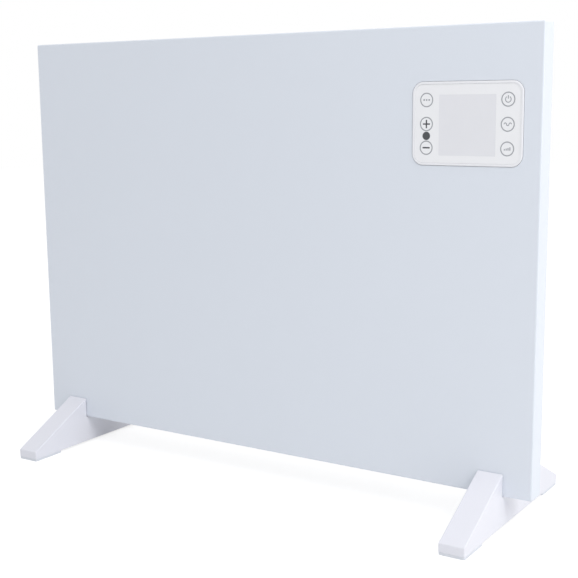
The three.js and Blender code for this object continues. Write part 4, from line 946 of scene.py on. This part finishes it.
def ramp_height(y, sizes, high, wall=0.0):
    """The height of a foot's sloping top, lowered by a wall measured square to it."""
    slope = (high.z - sizes.foot_tip) / (high.y - FOOT_NOTCH)
    return sizes.foot_tip + (high.y - abs(y)) * slope - wall * math.hypot(1, slope)


def foot_solid(sizes, low, high, wall, bottom):
    """A foot's side view, drawn in by a wall and pushed across it, with its lower face at a height."""
    tip = high.y - wall
    upright = FOOT_NOTCH + wall
    step_y, step_z = foot_step(sizes)
    outline = [
        (-tip, bottom),
        (tip, bottom),
        (tip, ramp_height(tip, sizes, high, wall)),
        (upright, ramp_height(upright, sizes, high, wall)),
        (upright, step_z - wall),
        (step_y + wall, step_z - wall),
        (step_y + wall, FOOT_LOW_SEAT - wall),
        (-upright, FOOT_LOW_SEAT - wall),
        (-upright, ramp_height(upright, sizes, high, wall)),
        (-tip, ramp_height(tip, sizes, high, wall)),
    ]
    bm = bmesh.new()
    side = bm.faces.new([bm.verts.new((low.x + wall, y, z)) for y, z in outline])
    pushed = bmesh.ops.extrude_face_region(bm, geom=[side])["geom"]
    moved = [v for v in pushed if isinstance(v, bmesh.types.BMVert)]
    bmesh.ops.translate(bm, vec=(high.x - low.x - 2 * wall, 0, 0), verts=moved)
    bmesh.ops.recalc_face_normals(bm, faces=bm.faces)
    return bm


class HEATER_OT_feet(bpy.types.Operator):
    """Mould the two feet with their ribs and screw bosses, and the pads under their ends"""

    bl_idname = "heater.feet"
    bl_label = "Feet and pads"

    def execute(self, context):
        sizes = context.scene.heater_sizes
        for side in SIDES:
            self.foot(side, sizes)
            for end in ENDS:
                self.pad(f"foot_pad_{side}_{end}", sizes)
        return {"FINISHED"}

    def foot(self, side, sizes):
        low, high, _ = span(f"foot_{side}")
        outer = foot_solid(sizes, low, high, 0.0, low.z)
        edges = [e for e in outer.edges if max(v.co.z for v in e.verts) > low.z + FIT]
        soften(outer, edges, sizes.foot_edge, 4)
        shell = carved(outer, foot_solid(sizes, low, high, sizes.foot_wall, low.z - THROUGH))
        stiff = carved(shell, self.stiffeners(side, sizes), "UNION")
        bm = carved(stiff, self.screw_holes(side, sizes))
        name = f"foot_{side}"
        piece(name + "_moulding", bm, "moulded_abs_white", replaced=[name])

    def screw_seats(self, side, sizes):
        """The middles of the two foot screws, each with the height of the seat above it."""
        seats = (FOOT_LOW_SEAT, foot_step(sizes)[1])
        return [(span(f"foot_screw_{side}_{end}")[2], z) for end, z in zip(ENDS, seats)]

    def stiffeners(self, side, sizes):
        """The ribs across the foot and the bosses round its screws."""
        low, high, _ = span(f"foot_{side}")
        sunk = sizes.foot_wall / 2
        thin = sizes.foot_rib / 2
        bm = bmesh.new()
        for y in RIB_PLACES:
            under = ramp_height(abs(y) + thin, sizes, high, sunk)
            block(bm, (low.x + sunk, y - thin, low.z + RIB_LIFT), (high.x - sunk, y + thin, under))
        half = (sizes.foot_boss_depth - sunk) / 2
        for screw, seat in self.screw_seats(side, sizes):
            drum(bm, (screw.x, screw.y, seat - sunk - half), sizes.foot_boss / 2, half, "Z")
        return bm

    def screw_holes(self, side, sizes):
        bm = bmesh.new()
        for screw, seat in self.screw_seats(side, sizes):
            reach = sizes.foot_boss_depth + THROUGH
            drum(bm, (screw.x, screw.y, seat), FOOT_SCREW_HOLE, reach, "Z")
        return bm

    def pad(self, node, sizes):
        """A grooved sole with rounded edges, and a plug that fits inside the foot's end."""
        low, high, middle = span(node)
        thick = sizes.pad_thickness
        bm = bmesh.new()
        rows = [(SOLE_ROUND, 0.0), (0.25 * SOLE_ROUND, 0.3 * SOLE_ROUND), (0.0, SOLE_ROUND)]
        rows += [(0.0, thick - FIT), (FIT, thick)]
        stack(bm, rows, middle, (high - low).xy, PAD_CORNER, "Z", 5)
        grooves = bmesh.new()
        for i in range(PAD_GROOVES):
            y = low.y + (i + 1) * (high.y - low.y) / (PAD_GROOVES + 1)
            first, last = y - GROOVE_WIDTH / 2, y + GROOVE_WIDTH / 2
            block(grooves, (low.x - MM, first, -MM), (high.x + MM, last, GROOVE_DEPTH))
        wall = sizes.foot_wall + FIT
        tip = -1 if middle.y < 0 else 1
        half = (high.y - low.y) / 2
        ends = sorted((middle.y - tip * (half - FIT), middle.y + tip * (half - wall)))
        plug = bmesh.new()
        block(plug, (low.x + wall, ends[0], thick - MM), (high.x - wall, ends[1], high.z), PLUG_EDGE)
        bm = carved(carved(bm, grooves), plug, "UNION")
        piece(node + "_rubber", bm, "moulded_rubber_pale", replaced=[node])


# ---- control module

# The ring: its rim round the lens, the shelf that the lens sits on, and its flange behind the sheet.
RING_WIDTH = 2.2 * MM
RING_SHELF = 5.8 * MM
RING_ROUND = 0.7 * MM
RING_INNER_ROUND = 0.15 * MM
FLANGE_FRONT = -29.7 * MM
FLANGE_REAR = -28.2 * MM
FLANGE_REACH = 3 * MM

# The lens: how much larger it is than its CAD node, its corners and the rounding of its edge.
LENS_SPREAD = 0.46 * MM
LENS_CORNER = 8 * MM
LENS_ROUND = 0.1 * MM

# The display's window: its place, its size, and how far its print reaches into the lens.
WINDOW_SHIFT = 0.55 * MM
WINDOW_Z = 371.7 * MM
WINDOW_SIZE = (55 * MM, 54.5 * MM)
WINDOW_CORNER = 0.8 * MM
PRINT_ROOT = 0.05 * MM


class HEATER_OT_control_module(bpy.types.Operator):
    """Mould the ring of the control module, its touch lens and the display's window"""

    bl_idname = "heater.control_module"
    bl_label = "Control module"

    def execute(self, context):
        self.ring()
        self.lens()
        self.window(context.scene.heater_sizes)
        return {"FINISHED"}

    def ring(self):
        bm = bmesh.new()
        face, back = BEZEL_LOW.y, BEZEL_HIGH.y
        shelf = LENS_HIGH.y + FIT
        rows = [
            (0.0, back),
            (0.0, FLANGE_REAR),
            (-FLANGE_REACH, FLANGE_REAR - DRAFT),
            (-FLANGE_REACH, FLANGE_FRONT + DRAFT),
            (0.0, FLANGE_FRONT),
        ]
        rims = reversed(rounded_rims(RING_ROUND))
        rows += [(inset, face + drop) for inset, drop in rims]
        rims = rounded_rims(RING_INNER_ROUND)
        rows += [(RING_WIDTH - inset, face + drop + DRAFT) for inset, drop in rims]
        rows += [(RING_WIDTH, shelf), (RING_SHELF, shelf + DRAFT), (RING_SHELF, back - DRAFT)]
        middle = (BEZEL_MIDDLE.x, BEZEL_MIDDLE.z)
        stack(bm, rows, middle, MODULE_SIZE, MODULE_CORNER, segments=12, closed=True)
        piece("control_ring", bm, "polished_abs_ring", replaced=["control_bezel"])

    def lens(self):
        bm = bmesh.new()
        size = [side + LENS_SPREAD for side in (LENS_HIGH - LENS_LOW).xz]
        rims = reversed(rounded_rims(LENS_ROUND))
        rows = [(0.0, LENS_HIGH.y), *((inset, LENS_LOW.y + drop) for inset, drop in rims)]
        corner = LENS_CORNER + LENS_SPREAD / 2
        stack(bm, rows, (LENS_MIDDLE.x, LENS_MIDDLE.z), size, corner, segments=12)
        piece("touch_lens_acrylic", bm, "acrylic_touch_lens", replaced=["touch_lens"])

    def window(self, sizes):
        bm = bmesh.new()
        rows = [(0.0, LENS_LOW.y + PRINT_ROOT), (0.0, LENS_LOW.y - sizes.print_height)]
        stack(bm, rows, (LENS_MIDDLE.x + WINDOW_SHIFT, WINDOW_Z), WINDOW_SIZE, WINDOW_CORNER)
        piece("display_window", bm, "liquid_crystal_window")


# ---- printed marks

# The keys' middles, and the strokes and spaces of their signs.
KEY_LEFT = 189.8 * MM
KEY_RIGHT = 268.3 * MM
KEY_ROWS = (394.3 * MM, 372.7 * MM, 351.3 * MM)
RECEIVER_Z = 362 * MM
RECEIVER_RADIUS = 3.8 * MM
SIGN_WIDTH = 7.2 * MM
PLUS_LINE = 1.2 * MM
PLUS_ARM = (1.3 * MM, 3.2 * MM)
PLUS_ARM_OUT = 2.2 * MM
MINUS_LINE = 1.3 * MM
SIGN_LINE = 0.8 * MM
POWER_RADIUS = 2.6 * MM
POWER_GAP = math.radians(70)
POWER_STEM = 3.0 * MM
POWER_STEM_OUT = 2.0 * MM
MENU_PITCH = 2.5 * MM
MENU_DOT = 0.85 * MM
WAVE_RADIUS = 1.15 * MM
LEVEL_COUNT = 4
LEVEL_PITCH = 1.7 * MM
LEVEL_WIDTH = 1.05 * MM
LEVEL_FIRST = 1.2 * MM
LEVEL_STEP = 0.55 * MM
LEVEL_FOOT = -1.4 * MM

# Each sign and its ink. The operator has a method of the same name that draws it.
SIGNS = {
    "plus_and_minus": "screen_print_dark",
    "receiver_window": "smoked_acrylic_dot",
    "power_sign": "screen_print_grey",
    "menu_sign": "screen_print_grey",
    "warmth_sign": "screen_print_grey",
    "power_level_sign": "screen_print_grey",
}


def upright_place(x, z):
    """Places a flat mark, drawn in X and Y with Z towards the viewer, on the lens."""
    return Matrix.Translation((x, LENS_LOW.y, z)) @ facing("Y")


def print_ring(bm, place, radius, line, height, steps=48):
    profile = [(radius - line, -height), (radius, -height), (radius, height), (radius - line, height)]
    turned(bm, profile, place, steps)


def print_bar(bm, place, middle, width, tall, height):
    corners = block(bm, (-width / 2, -tall / 2, -height), (width / 2, tall / 2, height))
    bmesh.ops.transform(bm, matrix=place @ Matrix.Translation((*middle, 0)), verts=corners)


def print_dot(bm, place, radius, height, steps=32):
    turned(bm, [(0.0, -height), (radius, -height), (radius, height), (0.0, height)], place, steps)


def print_stroke(bm, place, line, height, arcs, steps=20):
    """A printed line of joined arcs. It starts at the origin along +Y.

    Each arc is its middle's x on the flat mark and its turn, and the next one starts where it ends.
    """
    known = set(bm.verts)
    corners = [(-line / 2, -height), (line / 2, -height), (line / 2, height), (-line / 2, height)]
    face = bm.faces.new([bm.verts.new((x, 0, z)) for x, z in corners])
    end = [face, *face.edges, *face.verts]
    for middle_x, sweep in arcs:
        end = bmesh.ops.spin(
            bm,
            geom=end,
            cent=(middle_x, 0, 0),
            axis=(0, 0, 1),
            dvec=(0, 0, 0),
            angle=sweep,
            steps=steps,
            use_merge=False,
            use_duplicate=False,
        )["geom_last"]
    bmesh.ops.transform(bm, matrix=place, verts=[v for v in bm.verts if v not in known])


class HEATER_OT_key_prints(bpy.types.Operator):
    """Print the six key rings and their signs on the touch lens"""

    bl_idname = "heater.key_prints"
    bl_label = "Key prints"

    def execute(self, context):
        sizes = context.scene.heater_sizes
        height = sizes.print_height
        rings = bmesh.new()
        for x in (KEY_LEFT, KEY_RIGHT):
            for z in KEY_ROWS:
                print_ring(rings, upright_place(x, z), sizes.key_diameter / 2, sizes.key_line, height)
        piece("key_rings", rings, "screen_print_grey")
        for name, ink in SIGNS.items():
            bm = bmesh.new()
            getattr(self, name)(bm, height)
            piece(name, bm, ink)
        return {"FINISHED"}

    def plus_and_minus(self, bm, height):
        plus = upright_place(KEY_LEFT, KEY_ROWS[1])
        print_bar(bm, plus, (0, 0), SIGN_WIDTH, PLUS_LINE, height)
        for side in (-1, 1):
            print_bar(bm, plus, (0, side * PLUS_ARM_OUT), *PLUS_ARM, height)
        print_bar(bm, upright_place(KEY_LEFT, KEY_ROWS[2]), (0, 0), SIGN_WIDTH, MINUS_LINE, height)

    def receiver_window(self, bm, height):
        print_dot(bm, upright_place(KEY_LEFT, RECEIVER_Z), RECEIVER_RADIUS, height, steps=48)

    def power_sign(self, bm, height):
        place = upright_place(KEY_RIGHT, KEY_ROWS[0])
        start = Matrix.Rotation(QUARTER_TURN + POWER_GAP / 2, 4, "Z")
        start = start @ Matrix.Translation((POWER_RADIUS, 0, 0))
        arcs = [(-POWER_RADIUS, 2 * math.pi - POWER_GAP)]
        print_stroke(bm, place @ start, SIGN_LINE, height, arcs, steps=40)
        print_bar(bm, place, (0, POWER_STEM_OUT), SIGN_LINE, POWER_STEM, height)

    def menu_sign(self, bm, height):
        for i in (-1, 0, 1):
            print_dot(bm, upright_place(KEY_LEFT + i * MENU_PITCH, KEY_ROWS[0]), MENU_DOT, height)

    def warmth_sign(self, bm, height):
        start = Matrix.Translation((-3 * WAVE_RADIUS, 0, 0))
        turns = (-HALF_TURN, HALF_TURN, -HALF_TURN)
        arcs = [((2 * i + 1) * WAVE_RADIUS, turn) for i, turn in enumerate(turns)]
        print_stroke(bm, upright_place(KEY_RIGHT, KEY_ROWS[1]) @ start, SIGN_LINE, height, arcs)

    def power_level_sign(self, bm, height):
        for i in range(LEVEL_COUNT):
            tall = LEVEL_FIRST + LEVEL_STEP * i
            middle = ((i - (LEVEL_COUNT - 1) / 2) * LEVEL_PITCH, tall / 2 + LEVEL_FOOT)
            print_bar(bm, upright_place(KEY_RIGHT, KEY_ROWS[2]), middle, LEVEL_WIDTH, tall, height)


# ---- mains switch

# The rounding of the edges of the switch's body and of its rocker.
SWITCH_ROUND = 0.3 * MM
ROCKER_ROUND = 0.35 * MM
# The rocker's tilt at rest, and how far its faces and their signs lie from its pivot.
ROCKER_TILT = math.radians(10)
ROCKER_FACE = 5 * MM
ROCKER_SIGN_OUT = 4.4 * MM
ROCKER_PRINT = 0.05 * MM
ON_BAR = (0.8 * MM, 3.2 * MM)
OFF_RADIUS = 1.8 * MM
OFF_LINE = 0.6 * MM


class HEATER_OT_mains_switch(bpy.types.Operator):
    """Finish the mains switch and print the signs for on and off on its rocker"""

    bl_idname = "heater.mains_switch"
    bl_label = "Mains switch"

    def execute(self, context):
        dress("rocker_switch_body", "moulded_nylon_black", SWITCH_ROUND)
        dress("rocker_switch_key", "moulded_nylon_black", ROCKER_ROUND, segments=3)
        signs = bmesh.new()
        print_bar(signs, self.sign_place(1), (0, 0), *ON_BAR, ROCKER_PRINT)
        print_ring(signs, self.sign_place(-1), OFF_RADIUS, OFF_LINE, ROCKER_PRINT, steps=32)
        piece("rocker_signs", signs, "screen_print_white", body="rocker")
        return {"FINISHED"}

    def sign_place(self, half):
        """The middle of the rocker's upper face, for 1, or its lower face, for -1, looking out."""
        joint = next(j for j in frame["joints"] if j["name"] == "mains_rocker")
        rest = Matrix.Translation(joint["pos_m"]) @ Matrix.Rotation(-ROCKER_TILT, 4, "Y")
        face = Matrix.Translation((ROCKER_FACE, 0, 0)) @ Matrix.Rotation(half * ROCKER_TILT, 4, "Y")
        out = Matrix.Rotation(QUARTER_TURN, 4, "Y") @ Matrix.Rotation(QUARTER_TURN, 4, "Z")
        return rest @ face @ Matrix.Translation((0, 0, half * ROCKER_SIGN_OUT)) @ out


# ---- inner pieces

# Each finish with the CAD nodes that show themselves in it, and their edges' rounding in millimetres.
INNER_PIECES = {
    "galvanised_sheet": {"heat_shield": 0},
    "extruded_aluminium": {"heating_element": 0.25},
    "heat_tinted_tube": {"element_rod": 0},
    "steatite_ceramic": {"element_bush_left": 0.3, "element_bush_right": 0.3},
    "moulded_nylon_black": {
        "thermal_cutout": 0.2,
        "board_tray": 0.3,
        "relay": 0.4,
        "cord_gland": 0,
        "room_sensor": 0,
    },
    "polycarbonate_grey": {"lcd_display": 0.2, "terminal_block": 0.3, "tilt_switch_case": 0.3},
    "circuit_board_green": {"display_board": 0, "power_board": 0},
    "moulded_abs_white": {"control_housing": 0.3},
    "zinc_plated_steel": {"tilt_switch_pin": 0.2, "tilt_switch_pendulum": 0.25},
    "silicone_white": {"element_lead_left": 0, "display_cable": 0},
    "silicone_brown": {"element_lead_right": 0, "switch_lead": 0},
}
# The angle past which a piece without rounded edges is shaded sharp.
ROUND_CREASE = math.radians(50.0)


class HEATER_OT_inner_pieces(bpy.types.Operator):
    """Finish the heating element, the heat shield and the electrical pieces inside"""

    bl_idname = "heater.inner_pieces"
    bl_label = "Inner pieces"

    def execute(self, context):
        for material, edges in INNER_PIECES.items():
            for node, edge in edges.items():
                dress(node, material, edge * MM, sharp=CREASE if edge else ROUND_CREASE)
        return {"FINISHED"}


# ---- studio

# Each lamp: its place, its diameter, the setting that holds its power, and its tint.
LAMPS = {
    "key_softbox": ((1.5, -0.6, 1.35), 0.9, "key_power", (1.0, 1.0, 1.0)),
    "side_softbox": ((1.6, 0.3, 1.1), 0.9, "side_power", (1.0, 0.99, 0.985)),
    "rear_softbox": ((-1.0, 2.2, 1.4), 1.2, "rear_power", (0.98, 0.99, 1.0)),
    "front_softbox": ((-0.6, -2.6, 1.2), 1.8, "fill_power", (0.97, 0.98, 1.0)),
    "top_softbox": ((0.2, -0.4, 2.2), 1.6, "top_power", (0.98, 0.99, 1.0)),
}
LAMP_AIM = Vector((0, 0, 0.2))
CAMERA_SHIFT = (-0.0035, 0.0159)
FLOOR_RADIUS = 6.0
WHITE = (1, 1, 1, 1)


class HEATER_OT_studio(bpy.types.Operator):
    """Set the floor, the soft lights, the white surroundings and the camera"""

    bl_idname = "heater.studio"
    bl_label = "Studio"

    def execute(self, context):
        studio = context.scene.heater_studio
        self.floor()
        self.surroundings(context.scene, studio)
        for name, (place, size, setting, tint) in LAMPS.items():
            self.lamp(name, Vector(place), size, getattr(studio, setting), tint)
        self.camera(context.scene, studio)
        context.scene.view_settings.view_transform = "Standard"
        return {"FINISHED"}

    def seen(self, tree):
        """1 for rays that come from the camera, or off gloss or through glass, and 0 for others."""
        rays = add_node(tree, "LightPath").outputs
        seen = rays["Is Camera Ray"]
        for kind in ("Is Glossy Ray", "Is Transmission Ray"):
            seen = add_node(tree, "Math", {0: seen, 1: rays[kind]}, operation="MAXIMUM").outputs[0]
        return seen

    def floor(self):
        """A floor that looks white and keeps the shadow, and bounces light as pale paint does."""
        bm = bmesh.new()
        bmesh.ops.create_circle(bm, cap_ends=True, segments=64, radius=FLOOR_RADIUS)
        made = as_object(bm, "studio_floor")
        material = bpy.data.materials.new("painted_studio_floor")
        tree = emptied(material)
        glow = add_node(tree, "Emission", {"Color": WHITE, "Strength": 0.8})
        dull = add_node(tree, "BsdfDiffuse", {"Color": (0.35, 0.35, 0.35, 1)})
        shown = add_node(tree, "AddShader", {0: glow.outputs[0], 1: dull.outputs[0]})
        bounce = add_node(tree, "BsdfDiffuse", {"Color": (0.88, 0.88, 0.88, 1)})
        ends = {0: self.seen(tree), 1: bounce.outputs[0], 2: shown.outputs[0]}
        mix = add_node(tree, "MixShader", ends)
        add_node(tree, "OutputMaterial", {"Surface": mix.outputs[0]})
        made.data.materials.append(material)

    def surroundings(self, scene, studio):
        """An even pale light on the object, and a white background behind it."""
        scene.world = bpy.data.worlds.new("white_room")
        tree = emptied(scene.world)
        light = add_node(tree, "Background", {"Color": (0.96, 0.975, 1.0, 1), "Strength": studio.ambient})
        white = add_node(tree, "Background", {"Color": WHITE, "Strength": 1.0})
        ends = {0: self.seen(tree), 1: light.outputs[0], 2: white.outputs[0]}
        mix = add_node(tree, "MixShader", ends)
        add_node(tree, "OutputWorld", {"Surface": mix.outputs[0]})

    def lamp(self, name, place, size, watts, tint):
        light = bpy.data.lights.new(name, "AREA")
        light.shape = "DISK"
        light.size = size
        light.energy = watts
        light.color = tint
        made = bpy.data.objects.new(name, light)
        made.location = place
        made.rotation_euler = (LAMP_AIM - place).to_track_quat("-Z", "Y").to_euler()
        bpy.context.scene.collection.objects.link(made)

    def camera(self, scene, studio):
        data = bpy.data.cameras.new("camera")
        data.lens = studio.focal_length
        data.sensor_width = 36.0
        data.shift_x, data.shift_y = CAMERA_SHIFT
        data.clip_start = 0.01
        made = bpy.data.objects.new("camera", data)
        turn = Matrix.Rotation(studio.turn, 4, "Z")
        look = Matrix.Rotation(QUARTER_TURN - studio.tilt, 4, "X")
        roll = Matrix.Rotation(studio.roll, 4, "Z")
        made.matrix_world = Matrix.Translation(studio.place) @ turn @ look @ roll
        scene.collection.objects.link(made)
        scene.camera = made


# ---- add-on


class HEATER_PT_sidebar(bpy.types.Panel):
    """The heater's pieces, finishes and studio"""

    bl_idname = "HEATER_PT_sidebar"
    bl_label = "Panel convector heater"
    bl_space_type = "VIEW_3D"
    bl_region_type = "UI"
    bl_category = "Heater"

    def draw(self, context):
        for held in GROUPS:
            group = getattr(context.scene, held)
            box = self.layout.box()
            box.label(text=held.removeprefix("heater_").capitalize())
            for name in group.bl_rna.properties.keys():
                if name not in {"rna_type", "name"}:
                    box.prop(group, name)
        for operator in OPERATORS:
            self.layout.operator(operator.bl_idname)


# The settings, by the names under which the scene holds them.
GROUPS = {
    "heater_sizes": HeaterSizes,
    "heater_finishes": HeaterFinishes,
    "heater_studio": StudioSettings,
}
OPERATORS = (
    HEATER_OT_front_panel,
    HEATER_OT_rear_cover,
    HEATER_OT_screws,
    HEATER_OT_grilles,
    HEATER_OT_feet,
    HEATER_OT_control_module,
    HEATER_OT_key_prints,
    HEATER_OT_mains_switch,
    HEATER_OT_inner_pieces,
    HEATER_OT_studio,
)
CLASSES = (*GROUPS.values(), *OPERATORS, HEATER_PT_sidebar)


def register():
    for item in CLASSES:
        bpy.utils.register_class(item)
    for name, group in GROUPS.items():
        setattr(bpy.types.Scene, name, bpy.props.PointerProperty(type=group))


def unregister():
    for name in GROUPS:
        delattr(bpy.types.Scene, name)
    for item in reversed(CLASSES):
        bpy.utils.unregister_class(item)


def main():
    register()
    bpy.ops.heater.front_panel()
    bpy.ops.heater.rear_cover()
    bpy.ops.heater.screws()
    bpy.ops.heater.grilles()
    bpy.ops.heater.feet()
    bpy.ops.heater.control_module()
    bpy.ops.heater.key_prints()
    bpy.ops.heater.mains_switch()
    bpy.ops.heater.inner_pieces()
    bpy.ops.heater.studio()
    bpy.context.view_layer.update()


if __name__ == "__main__":
    main()
